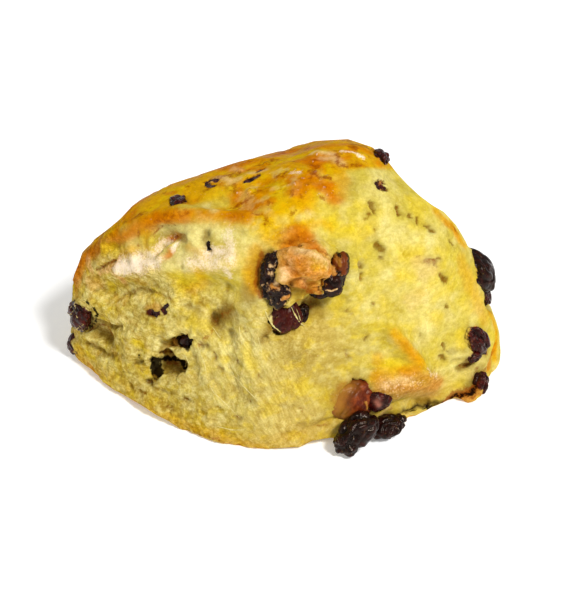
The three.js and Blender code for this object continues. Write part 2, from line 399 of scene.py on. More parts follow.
def perlin(points, size, seed=0.0):
    """Smooth noise from about -1 to 1 with lumps of that size."""
    shift = Vector([seed * part for part in PERLIN_SHIFT])
    return np.array([noise.noise(Vector(p) + shift) for p in (points / size).tolist()])


def ridges(points, size, seed=0.0):
    """Noise from 0 to 1 whose crests are sharp."""
    return np.clip(1 - np.abs(perlin(points, size, seed)) * 2, 0, 1)


def cracks(points, size, seed=0.0, width=0.12):
    """1 on thin wandering lines that part lumps of that size, and 0 between them."""
    return smoothstep(np.abs(perlin(points, size, seed)), width, 0)


def stirred(points, size, amount, seed=0.0):
    """The points shifted about by noise, so that what is drawn with them looks less even."""
    shift = np.stack([perlin(points, size, seed + k) for k in (0.1, 0.4, 0.7)], 1)
    return points + amount * shift


def pits(points, spacing, radius, share, seed=0.0):
    """1 in the middle of scattered pits of uneven size, fading to 0 at their edge."""
    shift = Vector([seed * part for part in PITS_SHIFT])
    out = np.zeros(len(points))
    for i, p in enumerate((points / spacing).tolist()):
        away, seeds = noise.voronoi(Vector(p) + shift)
        luck = math.sin(seeds[0].dot(LUCK_WAY)) * LUCK_FACTOR % 1.0
        if luck < share:
            reach = radius * (0.4 + 0.6 * luck / share)
            out[i] = 1 - away[0] * spacing / reach
    return smoothstep(out, 0, 0.7)


# ---- Dough: mesh -----------------------------------------------------------------------------

VOXEL = 0.45
FULL_SMOOTHING = 10
COVER_SMOOTHING = 90
COVER_REACH = 0.7

# Raisins that the dough has closed over: the lines over the picture along which they are bare, and
# the width of these.
COVERED = {
    "raisin_edge_bit": ([[(208, 243), (209, 246)]], 0.20),
    "raisin_crumb_a": ([[(147, 313), (151, 314), (156, 315)], [(150, 312), (153, 312)]], 0.34),
    "raisin_crumb_b": ([[(167, 305), (164, 308), (162, 309)], [(162, 310), (165, 313)]], 0.28),
    "raisin_crust_middle": (
        [[(206, 182), (209, 186), (213, 186)], [(210, 180), (214, 179), (217, 180)]],
        0.35,
    ),
    "raisin_crust_right": (
        [[(245, 181), (250, 179), (254, 177), (258, 175)], [(258, 171), (262, 169)]],
        0.35,
    ),
    "raisin_flank_bit": (
        [[(377, 183), (381, 184), (386, 189)], [(380, 181), (384, 182)], [(379, 187), (382, 188)]],
        0.36,
    ),
}
RAISINS = sorted(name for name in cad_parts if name.startswith("raisin_"))
cad_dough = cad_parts["dough"].data
covered_meshes = [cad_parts[name].data for name in COVERED]
cad_tree = tree_of(cad_dough)
covered_tree = tree_of(*covered_meshes)
raisin_tree = tree_of(*[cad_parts[name].data for name in RAISINS if name not in COVERED])


def dough_over_covered():
    """The dough and the raisins that it covers, joined by a fine remesh."""
    both = bpy.data.meshes.new("dough_and_covered")
    corners, faces = polygons_of(cad_dough, *covered_meshes)
    both.from_pydata(corners, [], faces)
    remesh = ("REMESH", {"mode": "VOXEL", "voxel_size": VOXEL * MM})
    smooth = ("SMOOTH", {"factor": 0.5, "iterations": FULL_SMOOTHING})
    return made_by_modifiers("scone_dough", both, remesh, smooth)


dough_mesh = dough_over_covered()
links = read(dough_mesh.edges, "vertices", 2, np.int64)
points = places(dough_mesh)
over_covered = distance_to(covered_tree, points, 1.0) < COVER_REACH
for _ in range(COVER_SMOOTHING):
    points[over_covered] = around(points, links)[over_covered]
set_places(dough_mesh, points)
outward = normals(dough_mesh)

# ---- Lines over the picture ------------------------------------------------------------------

PIXELS_PER_STEP = 6.0
LINE_REACH = 2.5  # widths from a line, beyond which nothing of it is felt
NOWHERE_NEAR = 1e9


def seen(tree, x, y):
    """The place that a point of the picture shows, or the nearest one."""
    ray = sight(x, y)
    hit = tree.ray_cast(EYE, ray)[0]
    if hit is None:
        hit = tree.find_nearest(EYE + ray * (TARGET - EYE).dot(ray))[0]
    return np.array(hit) / MM


def line_seen(tree, pixels, step=PIXELS_PER_STEP):
    """The places along a line drawn over the picture, a step of so many pixels apart."""
    out = []
    for (x0, y0), (x1, y1) in zip(pixels, pixels[1:]):
        count = max(1, int(math.hypot(x1 - x0, y1 - y0) / step))
        out += [seen(tree, x0 + (x1 - x0) * i / count, y0 + (y1 - y0) * i / count) for i in range(count)]
    out.append(seen(tree, *pixels[-1]))
    return np.array(out)


def near(points, pixels, width, tree=cad_tree):
    """1 on a line drawn over the picture, fading to nothing at about twice the width."""
    line = line_seen(tree, pixels)
    best = np.full(len(points), NOWHERE_NEAR)
    low, high = line.min(0) - LINE_REACH * width, line.max(0) + LINE_REACH * width
    inside = np.nonzero(np.all((points > low) & (points < high), axis=1))[0]
    some = points[inside]
    for start, end in zip(line, line[1:] if len(line) > 1 else line):
        along = end - start
        share = np.clip((some - start) @ along / max(along @ along, 1e-9), 0, 1)
        away = np.linalg.norm(some - start - share[:, None] * along, axis=1)
        best[inside] = np.minimum(best[inside], away)
    return np.exp(-((best / width) ** 2))


# ---- Dough: regions --------------------------------------------------------------------------

HEART = np.array([0, 0, 18.0])

# The crust's lower edge: its lift at each bearing, as it sags round the scone.
CRUST_EDGE = {
    -180: 24, -150: 12, -120: 5, -97: 3, -88: 17, -78: 32, -66: 45, -45: 53, -27: 55, -5: 52,
    14: 50, 24: 58, 34: 66, 60: 70, 77: 68, 92: 56, 107: 44, 125: 30, 150: 22, 180: 24,
}


def bearing_and_lift(points):
    """Where each point is as seen from the heart, in degrees.

    The bearing is 0 at the front and 90 at the right end, and the lift is 90 straight up.
    """
    out = points - HEART
    flat = np.linalg.norm(out[:, :2], axis=1)
    return np.degrees(np.arctan2(out[:, 0], -out[:, 1])), np.degrees(np.arctan2(out[:, 2], flat))


bearing, lift = bearing_and_lift(points)
underside = smoothstep(-outward[:, 2], 0.6, 0.9)

# 1 on the torn front, from the left end to the front ridge and under the crust, 0 on the skin.
torn = smoothstep(bearing + 3 * perlin(points, 5, 1), -112, -92)
torn *= 1 - smoothstep(bearing + 8 * perlin(points, 7, 2), -2, 30)
torn *= 1 - smoothstep(lift + 4 * perlin(points, 5, 3), 20, 32)
torn *= 1 - underside

# 1 on the crust, whose edge is sharper at the sides than at the front.
edge_lift = np.interp(bearing, list(CRUST_EDGE), list(CRUST_EDGE.values()))
crust_blur = 3 + 5 * smoothstep(np.abs(bearing - 20), 90, 20)
above = lift - edge_lift + 4 * perlin(points, 6, 4) + 2 * perlin(points, 2.2, 5)
crust = smoothstep(above / crust_blur, -0.8, 0.8)

before_folding = points.copy()

# ---- Dough: folds ----------------------------------------------------------------------------

# Folds, ledges and hollows: a line over the picture, its width and its height.
RELIEF = [
    ("crust lip", [(80, 264), (105, 241), (140, 222), (180, 211), (245, 216)], 1.5, 0.55),
    ("groove under the lip", [(112, 246), (140, 236), (158, 228), (215, 226), (240, 232)], 1.1, -0.6),
    ("crater", [(160, 249), (163, 240), (170, 236)], 1.3, -1.5),
    ("crater's deep side", [(172, 237), (187, 238)], 0.7, -1.1),
    ("crater's curl", [(163, 259), (171, 252), (177, 246), (179, 241)], 0.6, 1.7),
    ("crater's left rim", [(152, 240), (154, 252), (160, 258)], 0.8, 0.9),
    ("crater's right rim", [(190, 233), (198, 240), (201, 254)], 1.0, 0.7),
    ("crater's filling", [(166, 252), (182, 250), (190, 244)], 2.2, 0.9),
    ("groove right of the rim", [(205, 232), (207, 252)], 0.6, -0.8),
    ("pit by the crater", [(208, 236), (211, 249)], 1.0, -0.9),
    ("fold left of the crater", [(126, 240), (133, 256)], 1.0, 0.6),
    ("fold at the left corner", [(104, 248), (100, 262)], 1.0, 0.5),
    ("crease at the ledge's end", [(97, 269), (108, 264), (116, 261)], 0.5, -0.9),
    ("floury ledge", [(112, 271), (135, 268), (160, 266), (195, 265), (230, 262)], 1.5, 1.0),
    ("over the ledge", [(140, 254), (180, 256), (222, 250)], 1.3, -0.2),
    ("under the ledge", [(98, 290), (130, 286), (175, 285), (215, 282)], 1.6, -0.3),
    ("crease in the left crumb", [(122, 297), (132, 292), (142, 288), (156, 293), (170, 299)], 0.5, -0.35),
    ("roll under the crease", [(108, 308), (140, 302), (176, 306)], 1.8, 0.4),
    ("hollow round the small raisins", [(146, 309), (168, 304)], 1.8, -0.3),
    ("crease by the left raisin", [(88, 330), (98, 324), (110, 326), (121, 327)], 0.7, -1.0),
    ("hollow by the left raisin", [(102, 333), (111, 337)], 1.0, -0.7),
    ("shelf by the left raisin", [(84, 334), (92, 339), (104, 345)], 0.9, 0.7),
    ("hollow in the left crumb", [(88, 343), (97, 347), (106, 354), (116, 357)], 0.8, -0.6),
    ("roll in the left crumb", [(112, 318), (126, 336), (128, 352)], 1.6, 0.5),
    ("groove by the dark marks", [(134, 361), (142, 362)], 0.6, -0.7),
    ("shelf over the hole", [(130, 334), (150, 330), (172, 326), (204, 326)], 1.5, 0.9),
    ("hole's upper lip", [(168, 335), (180, 332), (196, 333)], 0.8, 1.2),
    ("hollow left of the hole", [(166, 346), (174, 342), (184, 340)], 1.5, -1.9),
    ("cave's upper lip", [(148, 356), (165, 353), (186, 355)], 0.7, 0.6),
    ("cave's left end", [(152, 360), (155, 368), (156, 374)], 0.8, -1.6),
    ("lump at the cave's left", [(148, 352), (149, 362)], 0.8, 0.5),
    ("lump at the cave's right", [(186, 372), (182, 376)], 0.9, 0.8),
    ("pale bridge over the cave", [(164, 352), (176, 351), (184, 350)], 0.8, 0.8),
    ("bridge between cave and hole", [(150, 347), (166, 349)], 1.2, 0.6),
    ("crumb below the cave", [(160, 384), (185, 386)], 1.5, 0.7),
    ("brown pocket", [(216, 320), (226, 312)], 1.4, 0.3),
    ("pocket's brow", [(212, 309), (222, 303), (232, 308)], 0.9, 0.4),
    ("long pocket", [(258, 340), (264, 336), (268, 330)], 1.1, 0.5),
    ("pocket by the under raisin", [(256, 318), (264, 320)], 0.9, -0.7),
    ("chin fold", [(232, 300), (250, 312), (262, 326)], 1.2, 0.7),
    ("groove beside the chin", [(228, 285), (234, 296)], 0.8, -0.5),
    ("fold left of the chin", [(196, 303), (207, 318), (205, 330)], 1.2, 0.6),
    ("tan dimple", [(188, 306), (200, 305)], 0.8, -0.6),
    ("stretched ridge", [(239, 325), (243, 350), (250, 372), (258, 400)], 1.0, 0.5),
    ("stretched groove", [(230, 335), (230, 365), (240, 400)], 0.9, -0.4),
    ("left stretched ridge", [(197, 345), (204, 372), (216, 396), (232, 416)], 0.8, 0.45),
    ("second stretched groove", [(208, 350), (212, 378), (228, 408)], 0.8, -0.35),
    ("right stretched ridge", [(258, 335), (262, 362), (284, 386)], 0.9, 0.35),
    ("hollow right of the ridge", [(270, 352), (276, 372)], 1.2, -0.4),
    ("glassy bump", [(294, 350), (298, 344)], 2.0, 0.7),
    ("hollow under the glassy bump", [(290, 364), (302, 363)], 0.9, -0.6),
    ("slanting groove", [(286, 436), (308, 429), (330, 421), (346, 415)], 0.7, -0.8),
    ("groove over the foot", [(280, 408), (298, 409), (310, 414)], 0.6, -0.6),
    ("roll over the foot", [(262, 424), (300, 418), (336, 404)], 1.4, 0.5),
    ("hollow beside the brown raisins", [(344, 388), (340, 398), (343, 412)], 1.3, -1.1),
    ("fold beside the brown raisins", [(338, 384), (333, 398), (335, 414)], 0.7, 0.5),
    ("fold over the brown raisins", [(345, 380), (358, 376), (372, 384)], 0.8, 0.6),
    ("fold with the orange streak", [(390, 330), (404, 342), (420, 362), (424, 376)], 1.1, 0.9),
    ("groove beside the streak", [(383, 342), (396, 358), (404, 370)], 1.2, -0.7),
    ("groove right of the streak", [(414, 336), (430, 352), (438, 368)], 1.2, -0.5),
    ("floury bulge", [(382, 388), (410, 384), (436, 380)], 2.0, 0.7),
    ("groove under the bulge", [(390, 405), (425, 398), (450, 390)], 0.9, -0.7),
    ("pit in the bulge's foot", [(415, 402), (426, 400)], 0.7, -0.9),
    ("foot's undercut", [(402, 418), (412, 416)], 1.2, -1.3),
    ("hollow by the right foot", [(458, 368), (464, 365), (470, 364)], 0.7, -1.3),
    ("pleat by the right pit", [(446, 356), (458, 355), (470, 352)], 0.6, 0.6),
    ("rise over the clod", [(285, 238), (300, 232), (316, 240)], 1.4, 0.6),
    ("clod's upper groove", [(284, 247), (300, 245), (318, 249), (331, 260)], 0.5, -0.8),
    ("clod's loaf", [(288, 254), (306, 262), (322, 269)], 1.6, 0.7),
    ("clod's lower crease", [(278, 296), (290, 286), (304, 282), (314, 290)], 0.8, -1.6),
    ("clod's inner crease", [(286, 268), (298, 276), (304, 284)], 0.5, -0.7),
    ("clod's lump", [(308, 254), (320, 262)], 0.8, 0.5),
    ("clod's second lump", [(296, 262), (292, 254)], 0.7, 0.45),
    ("clod's furrow", [(306, 266), (318, 268), (328, 266)], 0.45, -0.5),
    ("clod's lower right", [(338, 274), (330, 284), (318, 288)], 1.3, -1.8),
    ("clod's foot at the right raisin", [(316, 294), (325, 292)], 0.9, -1.6),
    ("lumps by the left raisin", [(284, 272), (278, 284)], 0.8, 0.7),
    ("hollow between clod and chin", [(296, 294), (308, 296), (320, 302)], 1.2, -1.0),
    ("hollow at the streak of sheen", [(330, 170), (350, 176)], 2.0, -0.4),
    ("brow with the sheen", [(318, 154), (340, 152), (362, 156)], 1.0, 0.4),
    ("dip in the crust", [(240, 190), (262, 182)], 2.0, -0.4),
    ("swelling of the crust", [(200, 196), (230, 192), (262, 204)], 2.2, 0.4),
    ("pleat on the right flank", [(362, 215), (385, 240), (400, 275)], 1.8, 0.4),
    ("hollow on the right flank", [(380, 205), (402, 235), (415, 265)], 1.8, -0.4),
    ("pale fold at the clod", [(349, 240), (353, 262), (350, 288)], 1.2, 0.6),
    ("hollow by the pale fold", [(362, 236), (364, 262)], 1.4, -0.5),
    ("ledge under the clod", [(288, 298), (318, 301), (345, 300)], 1.0, -0.7),
    ("right low rim", [(498, 350), (493, 366), (487, 380)], 1.6, -1.2),
    ("right lowest rim", [(502, 362), (498, 374)], 1.8, -1.2),
    ("front foot", [(308, 450), (330, 448)], 2.2, -1.1),
    ("dent by the right raisin", [(458, 300), (470, 318)], 1.8, -0.5),
    ("hollow by the edge raisin", [(462, 330), (466, 350)], 1.2, -0.5),
]

# The pocket under the clod is filled up in the finished crumb: what lies deeper than its lip is only
# a fifth as deep as in the solid.
POCKET = (221, 303)
POCKET_LIP, POCKET_DEPTH = 0.8, 5
POCKET_RADIUS, POCKET_EDGE = 3.5, 6.0
POCKET_FILLING = 0.80
FAR_SIDE = 12  # how deep in from the pocket the dough's other sides begin

uneven = 1 + 0.6 * perlin(points, 2.6, 34)
for _, pixels, width, height in RELIEF:
    points += outward * (height * uneven * near(points, pixels, width))[:, None]

pocket = seen(cad_tree, *POCKET)
inward = HEART - pocket
inward /= np.linalg.norm(inward)
down_in = (points - pocket) @ inward
aside = np.linalg.norm(points - pocket - down_in[:, None] * inward, axis=1)
deeper = np.clip(down_in - POCKET_LIP, 0, POCKET_DEPTH)
deeper = deeper * smoothstep(aside, POCKET_EDGE, POCKET_RADIUS) * (down_in < FAR_SIDE)
points -= inward * (POCKET_FILLING * deeper)[:, None]
set_places(dough_mesh, points)
outward = normals(dough_mesh)

# ---- Dough: crumb and skin -------------------------------------------------------------------

# The crumb is drawn out into fibres along this way, down two lines over the front.
FIBRE = np.array([0.50, -0.25, -0.83])
FIBRE /= np.linalg.norm(FIBRE)
FIBRE_DRAW = 0.82
STRETCHED = ([(205, 340), (228, 385), (262, 425)], [(250, 325), (262, 370), (300, 405)])
STRETCHED_WIDTH = 6
LEVEL = np.array([0.8, 0.8, 1.15])  # the crumb's lumps are wider than they are high

stretch = near(points, STRETCHED[0], STRETCHED_WIDTH)
stretch = np.clip(stretch + near(points, STRETCHED[1], STRETCHED_WIDTH), 0, 1)
warped = stirred(points, 5.0, 0.6, 30) * LEVEL
drawn = stirred(points, 6.0, 1.0, 37)
drawn -= FIBRE_DRAW * (drawn @ FIBRE)[:, None] * FIBRE


def woven(make, size, seed, *more):
    """Noise that is drawn out into fibres down the stretched front, and not elsewhere."""
    return (1 - stretch) * make(warped, size, seed, *more) + stretch * make(drawn, size, seed, *more)


# The torn crumb: lumps parted by cracks, with shreds, grit and small holes.
lumps = woven(perlin, 3.4, 6)
crack = woven(cracks, 4.2, 7, 0.06) * smoothstep(perlin(points, 4, 8), 0.05, 0.35)
shreds = woven(ridges, 1.8, 9) + 0.5 * woven(ridges, 0.9, 29)
grit = perlin(points, 0.8, 19)
holes = pits(stirred(points, 1.5, 0.8, 31), 4.6, 0.95, 0.34, 9)
crumb = (0.37 - 0.21 * stretch) * lumps - (0.27 - 0.19 * stretch) * crack + (0.08 + 0.04 * stretch) * shreds
crumb += 0.22 * perlin(points, 1.5, 53) + 0.24 * grit - 0.45 * holes - 0.08

# The skin: soft swellings with a few small holes, and on the crust a fine crackle and swellings.
skin = 0.34 * perlin(points, 6.0, 10) + 0.16 * perlin(points, 2.4, 11) + 0.04 * grit
small_holes = pits(stirred(points, 1.2, 0.6, 32), 4.8, 0.60, 0.30, 12) * (1 - crust)
skin -= 0.34 * small_holes
crackled = smoothstep(perlin(points, 7, 14), -0.2, 0.35)
crackle = 0.14 * ridges(stirred(points, 2.5, 1.0, 33), 1.7, 13) * crackled
crackle += 0.16 * perlin(points, 3.0, 15)
relief = torn * crumb * (1 - 0.8 * crust) + (1 - torn) * skin + crust * crackle
relief *= 1 - 0.8 * underside

# ---- Dough: pits, bubbles and clods ----------------------------------------------------------

# Small slits: their middle and half-length in the picture, and their radius and depth.
PITS = [
    (372, 203, 1, 1, 0.5, 0.4), (374, 209, 1, 3, 0.5, 0.5), (369, 213, -1, 1, 0.6, 0.3),
    (366, 218, -1, 1, 0.5, 0.2), (373, 229, 1, 2, 0.4, 0.5), (377, 245, 1, 2, 0.5, 0.5),
    (382, 249, 2, 1, 0.5, 0.5), (381, 258, 1, 1, 0.4, 0.4), (360, 264, 1, 1, 0.6, 0.6),
    (362, 267, 1, 0, 0.5, 0.5), (361, 277, 0, 2, 0.5, 0.6), (399, 211, 1, 3, 0.5, 0.6),
    (411, 217, 1, 1, 0.4, 0.3), (418, 220, 0, 2, 0.4, 0.4), (427, 226, 2, 1, 0.4, 0.4),
    (432, 231, 2, 0, 0.4, 0.4), (453, 243, 2, 2, 0.4, 0.4), (406, 254, 2, 1, 0.4, 0.3),
    (415, 257, 3, 0, 0.4, 0.3), (428, 261, 2, 0, 0.5, 0.4), (434, 261, 1, 1, 0.4, 0.3),
    (438, 258, 1, 0, 0.4, 0.3), (435, 265, 1, 1, 0.3, 0.3), (442, 277, 2, 2, 0.5, 0.4),
    (445, 281, 2, 1, 0.4, 0.3), (447, 307, 1, 1, 0.4, 0.4), (349, 313, 2, 1, 0.4, 0.6),
    (366, 338, 1, -1, 0.4, 0.4), (347, 354, 1, 2, 0.5, 0.5), (351, 359, 1, 1, 0.4, 0.4),
    (308, 353, 1, 2, 0.5, 0.5), (312, 357, 1, 1, 0.4, 0.3), (374, 304, 1, 1, 0.3, 0.2),
    (420, 334, 1, 1, 0.3, 0.2), (444, 347, 1, 2, 0.4, 0.4), (443, 358, 2, 1, 0.5, 0.6),
    (448, 351, 1, 1, 0.3, 0.3), (214, 356, 1, 2, 0.5, 0.6), (220, 368, 1, 1, 0.5, 0.6),
    (237, 362, 1, 2, 0.4, 0.4), (260, 377, 1, 2, 0.4, 0.4), (258, 393, 2, 1, 0.4, 0.4),
    (271, 405, 3, 1, 0.4, 0.4), (248, 401, 1, 1, 0.4, 0.4), (204, 346, 2, 1, 0.6, 0.6),
    (238, 418, 3, 1, 0.4, 0.4), (204, 414, 2, 1, 0.4, 0.4), (286, 418, 3, 1, 0.4, 0.4),
    (300, 424, 4, -1, 0.4, 0.4), (262, 412, 3, 1, 0.4, 0.3), (244, 330, 1, 1, 0.4, 0.4),
    (230, 334, 1, 2, 0.4, 0.4), (282, 343, 1, 1, 0.3, 0.2), (132, 332, 2, -1, 0.5, 0.4),
    (131, 293, 2, -1, 0.4, 0.4), (228, 288, 1, -2, 0.5, 0.6), (186, 288, 1, 1, 0.4, 0.4),
    (150, 382, 2, 0, 0.6, 0.6), (131, 386, 1, 2, 0.4, 0.4), (142, 392, 3, 1, 0.4, 0.3),
    (170, 408, 3, 1, 0.4, 0.3), (186, 400, 2, 1, 0.4, 0.3), (220, 408, 2, 1, 0.3, 0.3),
    (236, 344, 1, 2, 0.3, 0.3), (186, 318, 3, 0, 0.3, 0.3),
]

# Bubbles in the crust, where it blistered: their place in the picture and their radius.
BUBBLES = [
    (296, 184, 0.8), (303, 179, 0.7), (308, 186, 0.8), (300, 190, 0.6), (307, 193, 0.6), (294, 192, 0.6),
    (316, 172, 0.8), (323, 170, 0.6), (328, 176, 0.9), (322, 180, 0.7), (325, 188, 0.9), (331, 184, 0.7),
    (320, 195, 0.7), (328, 196, 0.6), (334, 192, 0.6), (238, 194, 0.8), (250, 192, 0.9), (258, 189, 0.7),
    (314, 162, 0.9), (318, 155, 0.7), (297, 170, 0.7), (266, 163, 0.8), (240, 170, 0.7),
]

# The knobbly clod between the raisins, and the scorched bit at the right foot.
CLOD, CLOD_WIDTH = [(284, 256), (300, 262), (324, 272)], 4.0
SCORCHED, SCORCHED_WIDTH = [(470, 396), (482, 392)], 2.2

RAISIN_REACH = 2.5
RIM_WIDTH = 1.1


def slit_line(x, y, across, down):
    """The line over the picture that runs along a small slit."""
    return [(x - across, y - down), (x + across, y + down)]


pitted = np.zeros(len(points))
jittered = stirred(points, 1.0, 0.40, 38)
for *line, radius, depth in PITS:
    pit = near(jittered, slit_line(*line), radius)
    relief -= depth * pit
    pitted = np.maximum(pitted, pit)

blistered = np.zeros(len(points))
for x, y, radius in BUBBLES:
    bubble = near(points, [(x, y)], 0.7 * radius)
    relief += 0.75 * radius * bubble
    blistered = np.maximum(blistered, bubble)

clod = near(points, CLOD, CLOD_WIDTH)
scorched = near(points, SCORCHED, SCORCHED_WIDTH)
knobbly = np.clip(clod + scorched, 0, 1) * (1 - crack)
relief += knobbly * (0.42 * ridges(points, 1.6, 16) + 0.30 * perlin(points, 2.2, 17) + 0.20 * grit - 0.2)

# The dough climbs a little over every raisin that it holds, unevenly.
raisin_gap = distance_to(raisin_tree, points, RAISIN_REACH)
from_heart = points - HEART
facing_out = np.sum(outward * from_heart, axis=1) / np.linalg.norm(from_heart, axis=1)
facing_out = smoothstep(facing_out, 0.1, 0.5)
rim = np.exp(-((raisin_gap / RIM_WIDTH) ** 2)) * facing_out * (1 - underside)
relief += rim * (0.40 + 0.45 * perlin(points, 2.0, 18))

points += outward * relief[:, None]

# ---- Dough: outline --------------------------------------------------------------------------

# The upper outline in the picture: what stands above it is lowered to it, by so many pixels at most.
TOP = [
    (72, 284), (84, 247), (96, 238), (108, 229), (120, 219), (132, 206), (144, 197), (168, 185), (204, 173),
    (240, 161), (276, 150), (312, 141), (348, 139), (372, 147), (384, 156), (396, 172), (408, 185),
    (420, 196), (432, 205), (444, 212), (456, 225), (464, 238),
]
TOP_MOST = 14
TOP_STRETCH = (66, 80, 462, 472)

# The lower outline left of the foot raisins: what stands out below it is pushed back.
LOW = [
    (72, 355), (84, 368), (96, 380), (108, 387), (120, 393), (132, 400), (144, 407), (156, 415), (168, 421),
    (180, 429), (192, 435), (204, 439), (228, 445), (252, 450), (300, 447), (312, 441), (330, 438),
]
LOW_MOST = 8
LOW_STRETCH = (70, 82, 330, 345)

away = points * MM - np.array(EYE)
pixel_there = away @ np.array(FORWARD) * PIXEL
x_seen = PICTURE[0] / 2 + away[:, 0] / pixel_there
y_seen = PICTURE[1] / 2 - away @ np.array(UP) / pixel_there

above_it = np.clip(np.interp(x_seen, *np.array(TOP).T) - y_seen, 0, TOP_MOST)
above_it *= between(x_seen, *TOP_STRETCH)
points -= (above_it * pixel_there / MM)[:, None] * np.array(UP)

below_it = np.clip(y_seen - np.interp(x_seen, *np.array(LOW).T), 0, LOW_MOST)
below_it *= between(x_seen, *LOW_STRETCH)
points[:, 1] += below_it * pixel_there / MM / UP[1]

points[:, 2] = np.maximum(points[:, 2], 0)
set_places(dough_mesh, points)
outward = normals(dough_mesh)
dough_tree = tree_of(dough_mesh)

# The slits through which the covered raisins show.
SLIT_DEPTH = 0.75
slit = np.zeros(len(points))
for lines, width in COVERED.values():
    for pixels in lines:
        slit = np.maximum(slit, near(stirred(points, 0.9, 0.25, 54), pixels, width, dough_tree))
points -= outward * (SLIT_DEPTH * slit)[:, None]
set_places(dough_mesh, points)

# ---- Dough: colour ---------------------------------------------------------------------------

FINE_SOFTENING = 8
BROAD_SOFTENING = 40
OUTLOOK = 4.0
OUTLOOK_RAYS = 14

# Pockets that the light reaches, with less painted shade: a line over the picture, its width and how much
# less shut in it is.
LIGHT_POCKETS = [
    ([(216, 322), (226, 312)], 3.2, 0.75),
    ([(262, 342), (268, 332)], 2.0, 0.55),
]
# Where shade is painted below the glassy bump.
SHADE_BELOW_THE_GLASSY_BUMP = [(290, 355), (330, 365), (350, 350)]

# How far each vertex lies below its surroundings (hollow) or above them (crest), finely and broadly.
fine_mean = soften(points, links, FINE_SOFTENING)
broad_mean = soften(fine_mean, links, BROAD_SOFTENING)
fine_height = np.sum((points - fine_mean) * outward, axis=1)
broad_height = np.sum((points - broad_mean) * outward, axis=1)
hollow = smoothstep(-fine_height, 0.02, 0.22)
crest = smoothstep(fine_height, 0.02, 0.22)
dip = smoothstep(-broad_height, 0.05, 0.7)

# How far each vertex is shut in by the dough round it, which sets the painted shade in recesses.
deep = smoothstep(1 - openness(dough_tree, points, outward, OUTLOOK, OUTLOOK_RAYS), 0.42, 0.85)
for pixels, width, less in LIGHT_POCKETS:
    deep *= 1 - less * near(points, pixels, width)

mottle = perlin(points, 5.5, 20)
grain = perlin(points, 1.3, 21)
bare = 1 - torn
# Towards the left end, where the torn crumb is painted darker as shade.
left = smoothstep(bearing, -35, -75)
back = smoothstep(np.abs(bearing), 100, 140)
front = between(bearing, -80, -40, 40, 75)
ridge = between(bearing, -20, 5, 20, 45) * smoothstep(lift, 30, 10)
foot = smoothstep(8 - points[:, 2] + 2 * mottle, 0, 6)
colour = np.tile(linear(CRUMB), (len(points), 1))


def tint(paint, amount):
    """Mixes a colour of the palette in, by an amount from 0 to 1 for each vertex."""
    amount = np.clip(amount, 0, 1)[:, None]
    colour[:] = colour * (1 - amount) + linear(paint) * amount


def clouds(size, seed, low, high):
    """Ragged patches of about that size: 1 inside them and 0 outside."""
    return smoothstep(perlin(warped, size, seed) + 0.5 * perlin(points, 0.4 * size, seed + 0.5), low, high)


def turned_away(width):
    """1 where the dough turns away from the picture's view, fading to 0 where it faces it more."""
    return np.clip(1 - np.abs(outward @ np.array(FORWARD)) / width, 0, 1)


tint(PALE, 0.55 * clouds(6.0, 40, -0.40, 0.50) + 0.22 * clouds(2.2, 49, -0.05, 0.50))
tint(YELLOW, (0.40 * clouds(5.4, 41, -0.10, 0.60) + 0.12 * clouds(2.0, 50, 0.05, 0.50)) * (1 - crust))
tint(OLIVE, 0.16 * clouds(3.6, 42, 0.05, 0.60) * (1 - crust))

# The torn crumb: darker towards the left end as painted shade, lighter on its crests as a painted highlight,
# and darker in its hollows, dips, holes and pits as painted shade.
tint(TORN, torn * (0.25 + 0.25 * left))
tint(TAN, torn * (0.10 + 0.15 * left) * clouds(3.0, 43, 0.0, 0.45))
tint(YELLOW, torn * 0.50 * clouds(2.8, 44, 0.10, 0.45))
tint(PALE, torn * (0.60 - 0.10 * left) * clouds(2.4, 45, -0.05, 0.40))
tint(PALE, torn * crest * 0.45)
tint(PAINTED_SHADE, hollow * (0.10 + 0.25 * torn))
tint(PAINTED_SHADE, dip * (0.06 + 0.25 * torn))
tint(PAINTED_SHADE, 0.40 * holes * torn + 0.15 * small_holes * bare)
for *line, radius, _ in PITS:
    halo = near(points, slit_line(*line), radius + 0.5)
    tint(OLIVE, 0.36 * halo * (0.6 + 1.2 * grain))
tint(PAINTED_SHADE, 0.90 * smoothstep(pitted * (1 + 0.5 * grain), 0.25, 0.70))

# The crust, painted browner where it turns away from the view, as shade along its outline. Baking leaves it
# little blue.
tint(GOLD, crust * (0.88 + 0.25 * mottle))
tint(YELLOW, crust * 0.55 * clouds(3.2, 46, 0.05, 0.45))
tint(ORANGE, crust * (0.12 + 0.65 * clouds(4.0, 47, 0.0, 0.50)))
tint(ORANGE, crust * turned_away(0.35) * 0.5)
tint(BROWN, crust * turned_away(0.22) * 0.30)
colour[:, 2] *= 1 - 0.75 * crust

# The underside, the front, the back and the foot.
tint(GOLD, underside)
tint(ORANGE, underside * (0.4 + 0.5 * mottle))
tint(TORN, 0.75 * ridge)
tint(PALE, 0.30 * stretch)
# Painted shade on the lower part of the front and below the glassy bump.
tint(PAINTED_SHADE, front * 0.30 * smoothstep(points[:, 2], 22, 6) * (1 - 0.3 * stretch))
tint(OLIVE, 0.30 * near(points, SHADE_BELOW_THE_GLASSY_BUMP, 7))
tint(PALE, front * 0.35 * clouds(1.8, 55, 0.10, 0.45))
tint(YELLOW, front * 0.35 * clouds(2.0, 56, 0.10, 0.45))
tint(GOLD, back * (0.30 + 0.4 * mottle) * (1 - crust))
tint(GOLD, foot * 0.15)

# Marks that the material draws with ragged edges: how much brown, flour and soot there is; part of the brown
# and soot is painted shade, part of the flour a painted highlight.
MARKS = {BROWN: 0, FLOUR_AND_HIGHLIGHT: 1, SOOT_AND_SHADE: 2}
marks = np.zeros((len(points), len(MARKS)))


